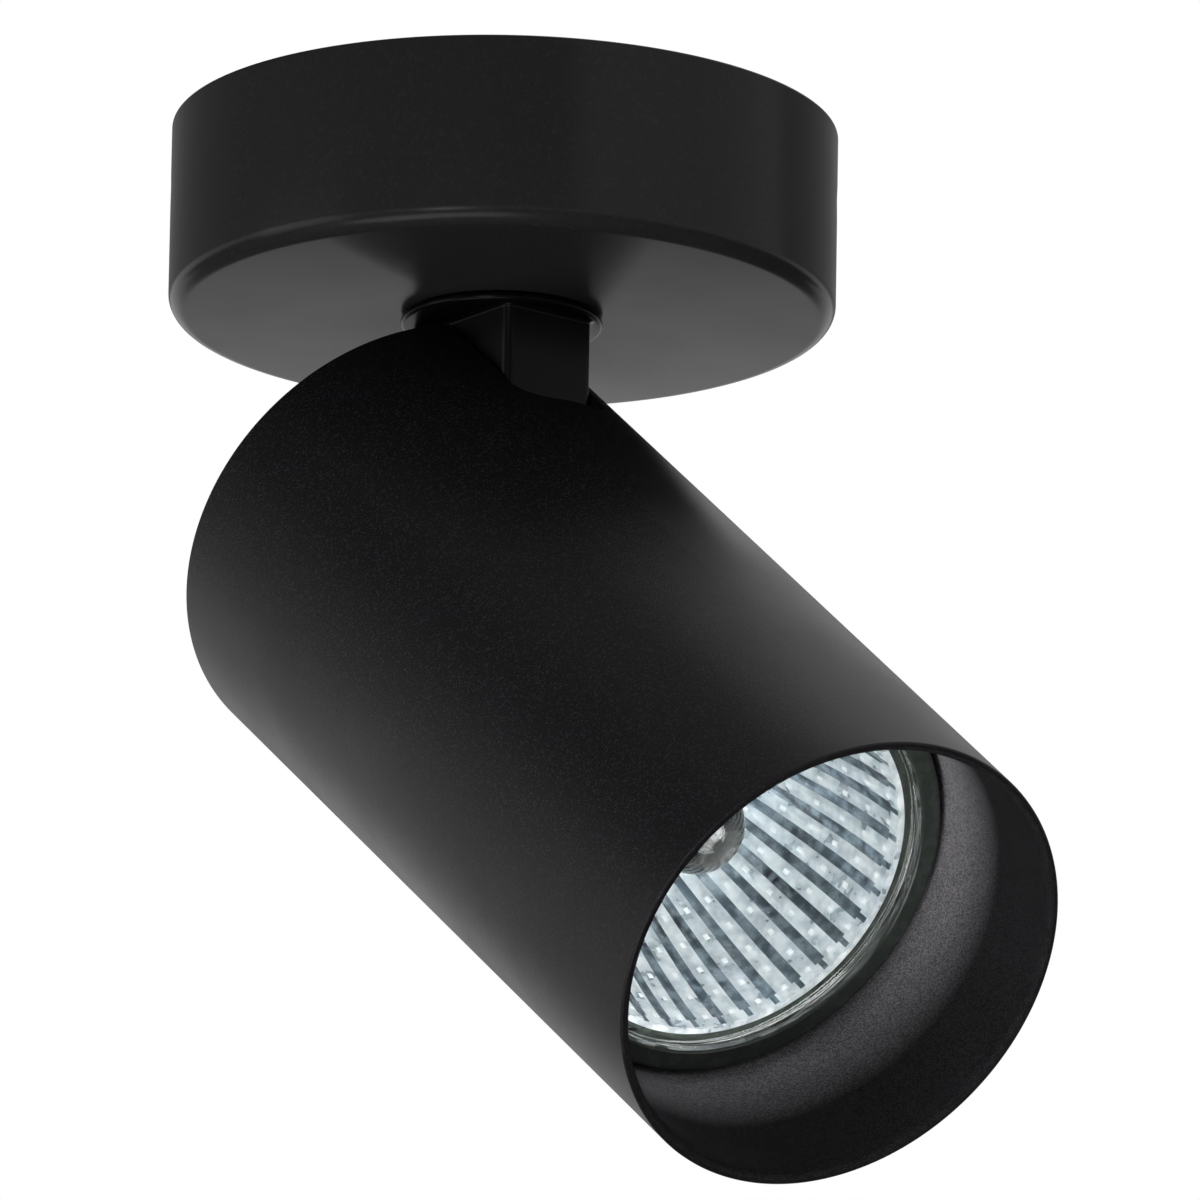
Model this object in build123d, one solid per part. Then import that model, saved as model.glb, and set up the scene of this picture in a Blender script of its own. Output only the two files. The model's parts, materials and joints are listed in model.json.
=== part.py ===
import os
from math import cos, radians, sin, sqrt, tan

from build123d import *

# A ceiling spotlight. Millimetres, +Z up. The origin is the middle of the ceiling face.
# The photographed pose is the rest pose: the head is turned and tilted by the two rest angles.

# Pose and travel, in degrees. Tilt is measured from straight down.
REST_SWIVEL = 38.0
REST_TILT = 51.0
MAX_TILT = 60.0

# Canopy: a pressed cup, open against the ceiling.
CANOPY_D = 76.0
CANOPY_H = 22.0
CANOPY_WALL = 1.2
CANOPY_EDGE_R = 2.0

# Ceiling bracket: a strap across the canopy, with a wing for the terminals.
STRAP_W = 20.0
STRAP_T = 1.5
EAR_W = 14.0
EAR_H = 13.0
EAR_GAP = 0.3
WING_W = 22.0
CEILING_SLOT_SPACING = 44.0
CEILING_SLOT_W = 4.4
CEILING_SLOT_L = 10.0
CABLE_HOLE_D = 14.0

# Screws: diameters of thread, and of heads where they have one.
GRUB_D = 4.0
GRUB_L = 7.0
GRUB_SUNK = 0.3
EARTH_SCREW_D = 4.0
SMALL_SCREW_D = 3.0
SMALL_HEAD_D = 5.5
SMALL_HEAD_H = 2.0
SOCKET_SHARE = 0.5
THREAD_CLEARANCE = 0.02
WALL_HOLE_CLEARANCE = 0.1

# Terminal block: two clamps side by side.
TERMINAL_W = 18.0
TERMINAL_L = 14.0
TERMINAL_H = 11.0
TERMINAL_Y = 22.0
TERMINAL_PITCH = 9.0
CLAMP_D = 5.0
CLAMP_BORE_D = 3.0
CLAMP_SCREW_D = 2.5
CLAMP_SCREW_REACH = 3.5
CLAMP_END_INSET = 1.0

# Swivel: hollow threaded nipple, washers and nuts in the canopy.
NIPPLE_D = 10.0
NIPPLE_BORE_D = 7.0
NIPPLE_IN_BLOCK = 10.0
NIPPLE_PROUD = 1.0
NIPPLE_CLEARANCE = 0.05
FRICTION_WASHER_D = 17.0
FRICTION_WASHER_T = 0.8
LOWER_WASHER_T = 0.5
STOP_WASHER_T = 1.0
STOP_TAB_W = 3.0
STOP_TAB_REACH = 11.2
SPRING_WASHER_D = 15.0
SPRING_WASHER_T = 1.2
SPRING_WASHER_SPLIT = 1.0
NUT_AF = 14.0
SWIVEL_NUT_H = 3.5
LOCK_NUT_H = 3.0
STOP_PIN_D = 2.0
STOP_PIN_R = 10.0
BUSHING_WALL = 0.7
BUSHING_FLANGE_D = 9.6
BUSHING_FLANGE_T = 0.8
BUSHING_SLEEVE_L = 5.0

# Knuckle: collar under the canopy, and the block that reaches into the tube.
COLLAR_D = 23.0
COLLAR_T = 1.0
COLLAR_EDGE_R = 0.4
COLLAR_GAP = 0.2
BLOCK_W = 12.3
BLOCK_DEPTH = 18.3
BLOCK_CORNER_R = 1.1
TONGUE_R = 6.2
WIRE_PORT_D = 6.0
WIRE_PORT_RISE = 12.0
WIRE_PORT_SLOPE = 30.0

# Tilt hinge.
PIVOT_D = 5.0
PIVOT_CLEARANCE = 0.05
PIVOT_OFFSET = 8.0
PIVOT_FROM_REAR = 17.0
PIVOT_WASHER_D = 12.0
PIVOT_WASHER_T = 0.8
PIVOT_HEAD_D = 8.5
PIVOT_HEAD_H = 3.0
PIVOT_NUT_AF = 8.0
PIVOT_NUT_H = 4.5
PIVOT_END = 0.5
CHEEK_T = 1.5
CHEEK_R = 6.0

# Lamp: a reflector lamp of 50 mm with a twist-lock base.
LAMP_RIM_D = 50.7
LAMP_RIM_T = 3.0
LAMP_L = 46.0
LAMP_BASE_D = 25.0
LAMP_BASE_H = 13.0
LAMP_NECK_D = 22.0
LAMP_OPENING_D = 41.4
LAMP_GLASS_D = 45.4
LAMP_GLASS_T = 2.4
LAMP_BOWL_WALL = 1.8
LAMP_BOWL_BULGE = 0.68
CAPSULE_D = 11.0
CAPSULE_WALL = 0.9
CAPSULE_REACH = 26.5
FILAMENT_D = 0.9
FILAMENT_GAP = 3.0
PIN_SPACING = 10.0
PIN_NECK_D = 3.2
PIN_NECK_H = 3.6
PIN_HEAD_D = 5.0
PIN_HEAD_H = 3.6
PIN_SUNK = 2.0
PIN_CLEARANCE = 0.3
LOCK_TURN = 25.0
LAMP_SEAT_GAP = 0.3
LAMP_SIDE_GAP = 0.9
CEMENT_GAP = 0.05

# Tube, rear cap and bulkhead.
TUBE_WALL = 1.25
TUBE_L = 105.0
TUBE_RIM_R = 0.3
SLOT_SIDE_GAP = 0.35
SLOT_END_GAP = 1.5
SLOT_CORNER_R = 4.0
TUBE_FIT = 0.1
CAP_T = 1.2
CAP_FLANGE_H = 5.0
CAP_GAP = 0.45
BULKHEAD_T = 1.6
BULKHEAD_RIM_W = 2.6
BULKHEAD_RIM_H = 7.0
BULKHEAD_GAP = 0.7
SHOULDER_GAP = 1.0
SET_SCREW_L = 4.0
SET_SCREW_SPREAD = 30.0
RIM_TO_COLLAR = 0.4

# Lampholder.
HOLDER_D = 28.0
HOLDER_H = 10.5
HOLDER_SCREW_R = 10.2
HOLDER_SCREW_SUNK = 4.0
HOLDER_EDGE_R = 1.0
CONTACT_D = 4.6
CONTACT_T = 0.5
CONTACT_STEM_D = 1.6
CONTACT_PLAY = 0.4
EARTH_TAG_R = 18.0
TAG_D = 7.0
TAG_T = 0.8
TAG_TAIL_L = 6.0
TAG_TAIL_W = 3.0

# Leads.
LEAD_D = 1.7
LEAD_RING_R = 1.45
LEAD_BEND_R = 3.0
LEAD_HEAD_BEND_R = 3.2
LEAD_EXIT_RUN = 2.6
LEAD_ARCH_X = 3.2
LEAD_ARCH_Y = 5.0
LEAD_ARCH_Z = 12.0
LEAD_DROP_Y = 6.0
LEAD_DROP_Z = 3.5
LEAD_HOLE_DEPTH = 3.0
EARTH_ARCH_Y = 5.5
EARTH_ARCH_Z = 9.0
EARTH_DROP_Z = 2.0
LIVE_TURN = 114.0
NEUTRAL_TURN = 354.0
EARTH_TURN = 234.0

# Worked-out sizes.
TUBE_BORE_D = LAMP_RIM_D + 2 * LAMP_SIDE_GAP
TUBE_D = TUBE_BORE_D + 2 * TUBE_WALL
SLOT_W = BLOCK_W + 2 * SLOT_SIDE_GAP
RIM_EDGE_Y = sqrt((TUBE_D / 2) ** 2 - (SLOT_W / 2) ** 2) - PIVOT_OFFSET
RIM_REACH = sqrt(RIM_EDGE_Y**2 + PIVOT_FROM_REAR**2)
COLLAR_TOP = -CANOPY_H - COLLAR_GAP
COLLAR_BOTTOM = COLLAR_TOP - COLLAR_T
PIVOT_Z = COLLAR_BOTTOM - RIM_TO_COLLAR - RIM_REACH
FLOOR_TOP = -CANOPY_H + CANOPY_WALL
CANOPY_BORE_D = CANOPY_D - 2 * CANOPY_WALL
EAR_FACE = sqrt((CANOPY_BORE_D / 2) ** 2 - (max(STRAP_W, EAR_W) / 2) ** 2) - EAR_GAP
GRUB_Z = -STRAP_T - EAR_H / 2
REAR = PIVOT_FROM_REAR
MOUTH = REAR - TUBE_L
BULKHEAD_REAR = -TONGUE_R - BULKHEAD_GAP
BULKHEAD_FRONT = BULKHEAD_REAR - BULKHEAD_T
HOLDER_FACE = BULKHEAD_FRONT - HOLDER_H
LAMP_SEAT = HOLDER_FACE - LAMP_SEAT_GAP
LAMP_FRONT = LAMP_SEAT - LAMP_L
TILT = radians(MAX_TILT)
BORE_EDGE_Y = sqrt((TUBE_BORE_D / 2) ** 2 - (BLOCK_W / 2) ** 2) - PIVOT_OFFSET
SLOT_RISE = (BORE_EDGE_Y - BLOCK_DEPTH / 2 * cos(TILT)) / tan(TILT)
SLOT_END = SLOT_RISE - BLOCK_DEPTH / 2 * sin(TILT) - SLOT_END_GAP
SHOULDER = (BLOCK_DEPTH / 2 * sin(TILT) + BULKHEAD_REAR + SHOULDER_GAP) / cos(TILT)
CHEEK_IN = BLOCK_W / 2 + PIVOT_WASHER_T
CHEEK_OUT = CHEEK_IN + CHEEK_T
STOP_LOW = FLOOR_TOP + FRICTION_WASHER_T
STOP_HIGH = STOP_LOW + STOP_WASHER_T
SPRING_HIGH = STOP_HIGH + SPRING_WASHER_T
NUT_HIGH = SPRING_HIGH + SWIVEL_NUT_H
LOCK_HIGH = NUT_HIGH + LOCK_NUT_H
NIPPLE_TOP = LOCK_HIGH + NIPPLE_PROUD
NIPPLE_LOW = COLLAR_TOP - NIPPLE_IN_BLOCK
BUSHING_TOP = NIPPLE_TOP + BUSHING_FLANGE_T
LEAD_Z = BUSHING_TOP + LEAD_BEND_R + LEAD_D
LEAD_JOIN = NIPPLE_TOP - BUSHING_SLEEVE_L
TERMINAL_Z = -STRAP_T - TERMINAL_H / 2
EARTH_SCREW_X = -CABLE_HOLE_D / 2 - TAG_D
PORT_Z = PIVOT_Z + WIRE_PORT_RISE
PORT_SLOPE = radians(WIRE_PORT_SLOPE)
PORT_L = BLOCK_DEPTH / 2 / cos(PORT_SLOPE)

ON_KNUCKLE = Rot(0, 0, REST_SWIVEL)
ON_HEAD = Pos(0, 0, PIVOT_Z) * ON_KNUCKLE * Rot(-REST_TILT, 0, 0)
TUBE_AXIS = Pos(0, PIVOT_OFFSET, 0)
SCREW_SIDE = Rot(0, 90, 0)


# Plain shapes.
def disc(diameter, low, high):
    return Pos(0, 0, low) * extrude(Circle(diameter / 2), high - low)


def ring(outer_d, inner_d, low, high):
    return disc(outer_d, low, high) - disc(inner_d, low, high)


def hexagon(across_flats, low, high):
    across_corners = across_flats / cos(radians(30))
    return Pos(0, 0, low) * extrude(RegularPolygon(across_corners / 2, 6), high - low)


def both_sides(shape):
    return [shape, mirror(shape, Plane.YZ)]


def socket_screw(thread_d, low, high, head_d, head_h):
    # A screw along Z: thread from low to high, head above high with a hexagon socket.
    top = high + head_h
    body = disc(thread_d, low, high) + disc(head_d, high, top)
    return body - hexagon(thread_d * SOCKET_SHARE, top - head_h * SOCKET_SHARE, top)


def grub_screw(thread_d, length):
    # A headless screw along Z, with its socket at the top, at z = 0.
    return disc(thread_d, -length, 0) - hexagon(thread_d * SOCKET_SHARE, -length * SOCKET_SHARE, 0)


def lead(points, bend_r):
    route = FilletPolyline(*points, radius=bend_r)
    section = Plane(origin=route @ 0, z_dir=route % 0) * Circle(LEAD_D / 2)
    return sweep(section, path=route)


def save(name, shape, place=Pos(0, 0, 0)):
    solids = shape if isinstance(shape, list) else [shape]
    placed = [place * solid for solid in solids]
    whole = placed[0] if len(placed) == 1 else Compound(children=placed)
    export_step(whole, f"parts/{name}.step")


# Canopy and what is fixed to the ceiling.
def grub_place():
    return Pos(CANOPY_D / 2 - GRUB_SUNK, 0, GRUB_Z) * SCREW_SIDE


def canopy():
    cup = disc(CANOPY_D, -CANOPY_H, 0)
    low_edge = cup.edges().filter_by(GeomType.CIRCLE).sort_by(Axis.Z)[0]
    cup = fillet(low_edge, CANOPY_EDGE_R)
    hollow = disc(CANOPY_BORE_D, FLOOR_TOP, 0)
    inner_edge = hollow.edges().filter_by(GeomType.CIRCLE).sort_by(Axis.Z)[0]
    cup -= fillet(inner_edge, CANOPY_EDGE_R - CANOPY_WALL)
    cup -= disc(NIPPLE_D + 2 * NIPPLE_CLEARANCE, -CANOPY_H, FLOOR_TOP)
    cup -= Pos(0, STOP_PIN_R, 0) * disc(STOP_PIN_D + 2 * THREAD_CLEARANCE, -CANOPY_H, FLOOR_TOP)
    screw_hole = disc(GRUB_D + 2 * WALL_HOLE_CLEARANCE, -GRUB_L, GRUB_L)
    for hole in both_sides(grub_place() * screw_hole):
        cup -= hole
    return cup


def ceiling_bracket():
    low = -STRAP_T
    flat = Rectangle(2 * EAR_FACE, STRAP_W)
    wing_l = TERMINAL_Y + TERMINAL_L / 2
    flat += Pos(0, wing_l / 2) * Rectangle(WING_W, wing_l)
    flat -= Circle(CABLE_HOLE_D / 2)
    for side in (-1, 1):
        slot = SlotOverall(CEILING_SLOT_L, CEILING_SLOT_W)
        flat -= Pos(side * CEILING_SLOT_SPACING / 2, 0) * slot
    flat -= Pos(EARTH_SCREW_X, 0) * Circle(EARTH_SCREW_D / 2 + THREAD_CLEARANCE)
    flat -= Pos(0, TERMINAL_Y) * Circle(SMALL_SCREW_D / 2 + THREAD_CLEARANCE)
    strap = Pos(0, 0, low) * extrude(flat, STRAP_T)
    ear = Pos(EAR_FACE - STRAP_T / 2, 0, low - EAR_H / 2) * Box(STRAP_T, EAR_W, EAR_H)
    thread = grub_place() * disc(GRUB_D + 2 * THREAD_CLEARANCE, -GRUB_L, 0)
    for one in both_sides(ear - thread):
        strap += one
    return strap


def canopy_grub_screws():
    return both_sides(grub_place() * grub_screw(GRUB_D, GRUB_L))


def stop_pin():
    return Pos(0, STOP_PIN_R, 0) * disc(STOP_PIN_D, -CANOPY_H, STOP_HIGH)


def clamp_places():
    along = Pos(0, TERMINAL_Y, TERMINAL_Z) * Rot(90, 0, 0)
    return [along * Pos(side * TERMINAL_PITCH / 2, 0, 0) for side in (-1, 1)]


def clamp_screw_places():
    places = []
    for side in (-1, 1):
        for end in (-1, 1):
            y = TERMINAL_Y + end * TERMINAL_L / 4
            places.append(Pos(side * TERMINAL_PITCH / 2, y, TERMINAL_Z) * Rot(180, 0, 0))
    return places


def terminal_body():
    body = Pos(0, TERMINAL_Y, TERMINAL_Z) * Box(TERMINAL_W, TERMINAL_L, TERMINAL_H)
    body = fillet(body.edges().filter_by(Axis.Y), CLAMP_END_INSET)
    half = TERMINAL_L / 2
    for place in clamp_places():
        body -= place * disc(CLAMP_D + 2 * THREAD_CLEARANCE, -half, half)
    for place in clamp_screw_places():
        body -= place * disc(CLAMP_SCREW_D + 2 * THREAD_CLEARANCE, 0, TERMINAL_H)
    fixing_d = SMALL_SCREW_D + 2 * THREAD_CLEARANCE
    body -= Pos(0, TERMINAL_Y, 0) * disc(fixing_d, -STRAP_T - TERMINAL_H, -STRAP_T)
    return body


def terminal_clamps():
    half = TERMINAL_L / 2 - CLAMP_END_INSET
    clamps = []
    for place in clamp_places():
        clamps.append(place * ring(CLAMP_D, CLAMP_BORE_D, -half, half))
    for place in clamp_screw_places():
        hole = place * disc(CLAMP_SCREW_D + 2 * THREAD_CLEARANCE, 0, CLAMP_D)
        clamps = [clamp - hole for clamp in clamps]
    return clamps


def terminal_screws():
    screw = Pos(0, 0, CLAMP_SCREW_REACH + LEAD_D / 2) * grub_screw(CLAMP_SCREW_D, CLAMP_SCREW_REACH)
    return [place * screw for place in clamp_screw_places()]


def terminal_fixing_screw():
    screw = socket_screw(SMALL_SCREW_D, 0, STRAP_T + TERMINAL_H, SMALL_HEAD_D, SMALL_HEAD_H)
    return Pos(0, TERMINAL_Y, 0) * Rot(180, 0, 0) * screw


def ring_tag(hole_d):
    # A ring terminal flat on z = 0, with its tail along +X.
    flat = Circle(TAG_D / 2)
    flat += Pos((TAG_D / 2 + TAG_TAIL_L) / 2, 0) * Rectangle(TAG_D / 2 + TAG_TAIL_L, TAG_TAIL_W)
    flat -= Circle(hole_d / 2 + THREAD_CLEARANCE)
    return extrude(flat, TAG_T)


def earth_place():
    return Pos(EARTH_SCREW_X, 0, -STRAP_T) * Rot(180, 0, 0)


def earth_tag():
    return earth_place() * ring_tag(EARTH_SCREW_D)


def earth_screw():
    screw = socket_screw(EARTH_SCREW_D, -STRAP_T, TAG_T, TAG_D, SMALL_HEAD_H)
    return earth_place() * screw


# Swivel.
def knuckle():
    collar = disc(COLLAR_D, COLLAR_BOTTOM, COLLAR_TOP)
    collar = fillet(collar.edges().filter_by(GeomType.CIRCLE), COLLAR_EDGE_R)
    section = RectangleRounded(BLOCK_W, BLOCK_DEPTH, BLOCK_CORNER_R)
    foot = PIVOT_Z + SHOULDER
    block = Pos(0, 0, foot) * extrude(section, COLLAR_BOTTOM - foot)
    side = Plane.YZ.offset(-BLOCK_W / 2)
    tongue = Pos(0, PIVOT_Z) * Circle(TONGUE_R)
    tongue += Pos(0, PIVOT_Z + SHOULDER / 2) * Rectangle(2 * TONGUE_R, SHOULDER)
    casting = collar + block + extrude(side * tongue, BLOCK_W)
    casting -= disc(NIPPLE_D + 2 * THREAD_CLEARANCE, NIPPLE_LOW, COLLAR_TOP)
    casting -= disc(NIPPLE_BORE_D, PORT_Z, NIPPLE_LOW)
    port = disc(WIRE_PORT_D, 0, 2 * PORT_L)
    casting -= Pos(0, 0, PORT_Z) * Rot(-90 - WIRE_PORT_SLOPE, 0, 0) * port
    casting -= Pos(0, 0, PORT_Z) * Sphere(NIPPLE_BORE_D / 2)
    recess_d = FRICTION_WASHER_D + 2 * NIPPLE_CLEARANCE
    casting -= disc(recess_d, -CANOPY_H - LOWER_WASHER_T, COLLAR_TOP)
    pivot_hole = disc(PIVOT_D + 2 * PIVOT_CLEARANCE, -BLOCK_W, BLOCK_W)
    return casting - Pos(0, 0, PIVOT_Z) * SCREW_SIDE * pivot_hole


def swivel_nipple():
    return ring(NIPPLE_D, NIPPLE_BORE_D, NIPPLE_LOW, NIPPLE_TOP)


def nipple_washer(outer_d, low, high):
    return ring(outer_d, NIPPLE_D + 2 * NIPPLE_CLEARANCE, low, high)


def stop_washer():
    # The tab stands opposite the stop pin at rest.
    washer = nipple_washer(FRICTION_WASHER_D, STOP_LOW, STOP_HIGH)
    mid = (NIPPLE_D / 2 + STOP_TAB_REACH) / 2
    tab = Box(STOP_TAB_W, STOP_TAB_REACH - NIPPLE_D / 2, STOP_WASHER_T)
    tab = Pos(0, -mid, (STOP_LOW + STOP_HIGH) / 2) * tab
    return washer + (tab - disc(FRICTION_WASHER_D, STOP_LOW, STOP_HIGH))


def spring_washer():
    washer = nipple_washer(SPRING_WASHER_D, STOP_HIGH, SPRING_HIGH)
    return washer - Pos(SPRING_WASHER_D / 2, 0, STOP_HIGH) * Box(
        SPRING_WASHER_D, SPRING_WASHER_SPLIT, 4 * SPRING_WASHER_T
    )


def nipple_nut(low, high):
    return hexagon(NUT_AF, low, high) - disc(NIPPLE_D + 2 * THREAD_CLEARANCE, low, high)


def nipple_bushing():
    sleeve_d = NIPPLE_BORE_D - 2 * THREAD_CLEARANCE
    whole = disc(BUSHING_FLANGE_D, NIPPLE_TOP, BUSHING_TOP)
    whole += disc(sleeve_d, NIPPLE_TOP - BUSHING_SLEEVE_L, NIPPLE_TOP)
    return whole - disc(sleeve_d - 2 * BUSHING_WALL, NIPPLE_TOP - BUSHING_SLEEVE_L, BUSHING_TOP)


# Head, drawn with its pivot at the origin and its mouth towards -Z.
def slot_cut():
    depth = TUBE_D
    height = REAR - SLOT_END
    cut = Pos(0, -PIVOT_OFFSET - depth / 2, (REAR + SLOT_END) / 2) * Box(SLOT_W, depth, height)
    return fillet(cut.edges().filter_by(Axis.Y).group_by(Axis.Z)[0], SLOT_CORNER_R)


def set_screw_places():
    mid = BULKHEAD_FRONT - BULKHEAD_RIM_H / 2
    out = Pos(TUBE_D / 2, 0, 0) * SCREW_SIDE
    return [TUBE_AXIS * Pos(0, 0, mid) * Rot(0, 0, turn) * out for turn in (-SET_SCREW_SPREAD, SET_SCREW_SPREAD)]


def lamp_tube():
    tube = ring(TUBE_D, TUBE_BORE_D, MOUTH, REAR)
    rims = tube.edges().filter_by(GeomType.CIRCLE)
    tube = TUBE_AXIS * fillet(rims, TUBE_RIM_R)
    for place in set_screw_places():
        tube -= place * disc(SMALL_SCREW_D + 2 * WALL_HOLE_CLEARANCE, -2 * TUBE_WALL, TUBE_WALL)
    return tube - slot_cut()


def rear_cap():
    cap_d = TUBE_BORE_D - 2 * TUBE_FIT
    low = REAR - CAP_FLANGE_H
    cap = disc(cap_d, low, REAR) - disc(cap_d - 2 * CAP_T, low, REAR - CAP_T)
    back = BLOCK_DEPTH / 2 + CAP_GAP
    passage = Pos(0, back - TUBE_D / 2, REAR) * Box(SLOT_W, TUBE_D, 4 * CAP_FLANGE_H)
    return TUBE_AXIS * cap - passage


def hinge_bulkhead():
    outer_d = TUBE_BORE_D - 2 * TUBE_FIT
    rim_low = BULKHEAD_FRONT - BULKHEAD_RIM_H
    cup = disc(outer_d, rim_low, BULKHEAD_REAR)
    cup -= disc(outer_d - 2 * BULKHEAD_RIM_W, rim_low, BULKHEAD_FRONT)
    for x, y in contact_spots():
        cup -= Pos(x, y, 0) * disc(PIN_HEAD_D, BULKHEAD_FRONT, BULKHEAD_REAR)
    screw_hole = disc(SMALL_SCREW_D + 2 * THREAD_CLEARANCE, BULKHEAD_FRONT, BULKHEAD_REAR)
    for x, y in holder_screw_spots():
        cup -= Pos(x, y, 0) * screw_hole
    cup -= Pos(0, EARTH_TAG_R, 0) * screw_hole
    cup = TUBE_AXIS * cup
    for place in set_screw_places():
        cup -= place * disc(SMALL_SCREW_D + 2 * THREAD_CLEARANCE, -TUBE_WALL - SET_SCREW_L, TUBE_WALL)
    outline = Circle(CHEEK_R) + Pos(0, BULKHEAD_REAR / 2) * Rectangle(2 * CHEEK_R, -BULKHEAD_REAR)
    outline -= Circle(PIVOT_D / 2 + PIVOT_CLEARANCE)
    cheek = extrude(Plane.YZ.offset(CHEEK_IN) * outline, CHEEK_T)
    for one in both_sides(cheek):
        cup += one
    return cup


def bulkhead_set_screws():
    screw = Pos(0, 0, -GRUB_SUNK) * grub_screw(SMALL_SCREW_D, SET_SCREW_L)
    return [place * screw for place in set_screw_places()]


def pivot_screw():
    screw = socket_screw(PIVOT_D, -CHEEK_OUT - PIVOT_NUT_H - PIVOT_END, CHEEK_OUT, PIVOT_HEAD_D, PIVOT_HEAD_H)
    return SCREW_SIDE * screw


def pivot_nut():
    nut = hexagon(PIVOT_NUT_AF, -CHEEK_OUT - PIVOT_NUT_H, -CHEEK_OUT)
    nut -= disc(PIVOT_D + 2 * THREAD_CLEARANCE, -CHEEK_OUT - PIVOT_NUT_H, -CHEEK_OUT)
    return SCREW_SIDE * nut


def pivot_washers():
    washer = ring(PIVOT_WASHER_D, PIVOT_D + 2 * PIVOT_CLEARANCE, BLOCK_W / 2, CHEEK_IN)
    return both_sides(SCREW_SIDE * washer)


# Lampholder, about the tube's axis.
def contact_spots():
    return [(side * PIN_SPACING / 2, 0) for side in (-1, 1)]


def holder_screw_spots():
    return [(0, side * HOLDER_SCREW_R) for side in (-1, 1)]


def turn_slot(width, low, high):
    # A curved pocket from the locked place of a pin to where it comes out.
    pocket = Pos(PIN_SPACING / 2, 0, 0) * disc(width, low, high)
    pocket += Rot(0, 0, LOCK_TURN) * pocket
    swept = extrude(Circle((PIN_SPACING + width) / 2) - Circle((PIN_SPACING - width) / 2), high - low)
    reach = PIN_SPACING + width
    wedge = make_face(
        Polyline(
            (0, 0),
            (reach, 0),
            (reach * cos(radians(LOCK_TURN)), reach * sin(radians(LOCK_TURN))),
            close=True,
        )
    )
    swept = Pos(0, 0, low) * (swept & extrude(wedge, high - low))
    return pocket + swept


def lampholder():
    head_w = PIN_HEAD_D + 2 * PIN_CLEARANCE
    neck_w = PIN_NECK_D + 2 * PIN_CLEARANCE
    ledge = LAMP_SEAT + PIN_NECK_H - PIN_CLEARANCE
    deep = pocket_bottom()
    body = disc(HOLDER_D, HOLDER_FACE, BULKHEAD_FRONT)
    face_edge = body.edges().filter_by(GeomType.CIRCLE).sort_by(Axis.Z)[0]
    body = fillet(face_edge, HOLDER_EDGE_R)
    entry = Pos(PIN_SPACING / 2, 0, 0) * disc(head_w, HOLDER_FACE, ledge)
    pocket = turn_slot(head_w, ledge, deep) + turn_slot(neck_w, HOLDER_FACE, ledge)
    pocket += Rot(0, 0, LOCK_TURN) * entry
    stem = Pos(PIN_SPACING / 2, 0, 0) * disc(CONTACT_STEM_D + 2 * THREAD_CLEARANCE, deep, BULKHEAD_FRONT)
    for turn in (0, 180):
        body -= Rot(0, 0, turn) * pocket
        body -= Rot(0, 0, turn) * stem
    for x, y in holder_screw_spots():
        body -= Pos(x, y, 0) * disc(SMALL_SCREW_D + 2 * WALL_HOLE_CLEARANCE, HOLDER_FACE, BULKHEAD_FRONT)
        body -= Pos(x, y, 0) * disc(SMALL_HEAD_D + 2 * PIN_CLEARANCE, HOLDER_FACE, HOLDER_FACE + HOLDER_SCREW_SUNK)
    return TUBE_AXIS * body


def pocket_bottom():
    return LAMP_SEAT + PIN_NECK_H + PIN_HEAD_H + CONTACT_PLAY + CONTACT_T


def lampholder_contacts():
    contacts = []
    for x, y in contact_spots():
        pad = disc(CONTACT_D, pocket_bottom() - CONTACT_T, pocket_bottom())
        stem = disc(CONTACT_STEM_D, pocket_bottom(), BULKHEAD_FRONT)
        contacts.append(TUBE_AXIS * Pos(x, y, 0) * (pad + stem))
    return contacts


def lampholder_screws():
    seat = HOLDER_FACE + HOLDER_SCREW_SUNK
    screw = Rot(180, 0, 0) * socket_screw(SMALL_SCREW_D, -BULKHEAD_REAR, -seat, SMALL_HEAD_D, SMALL_HEAD_H)
    return [TUBE_AXIS * Pos(x, y, 0) * screw for x, y in holder_screw_spots()]


def head_earth_place():
    return TUBE_AXIS * Pos(0, EARTH_TAG_R, BULKHEAD_REAR) * Rot(0, 0, -90)


def head_earth_tag():
    return head_earth_place() * ring_tag(SMALL_SCREW_D)


def head_earth_screw():
    return head_earth_place() * socket_screw(SMALL_SCREW_D, -SET_SCREW_L, TAG_T, SMALL_HEAD_D, SMALL_HEAD_H)


# Lamp, about the tube's axis.
def lamp_base():
    bowl_start = LAMP_SEAT - LAMP_BASE_H
    base = disc(LAMP_BASE_D, bowl_start, LAMP_SEAT)
    rear_edge = base.edges().filter_by(GeomType.CIRCLE).sort_by(Axis.Z)[-1]
    base = fillet(rear_edge, HOLDER_EDGE_R)
    base -= disc(CAPSULE_D + 2 * CEMENT_GAP, bowl_start, LAMP_SEAT - PIN_SUNK - CAPSULE_WALL)
    for x, y in contact_spots():
        base -= Pos(x, y, 0) * disc(PIN_NECK_D + 2 * THREAD_CLEARANCE, LAMP_SEAT - PIN_SUNK, LAMP_SEAT)
    return base


def lamp_pins():
    pins = []
    for x, y in contact_spots():
        neck = disc(PIN_NECK_D, LAMP_SEAT - PIN_SUNK, LAMP_SEAT + PIN_NECK_H)
        head_low = LAMP_SEAT + PIN_NECK_H
        head = disc(PIN_HEAD_D, head_low, head_low + PIN_HEAD_H)
        pins.append(Pos(x, y, 0) * (neck + head))
    return pins


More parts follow.
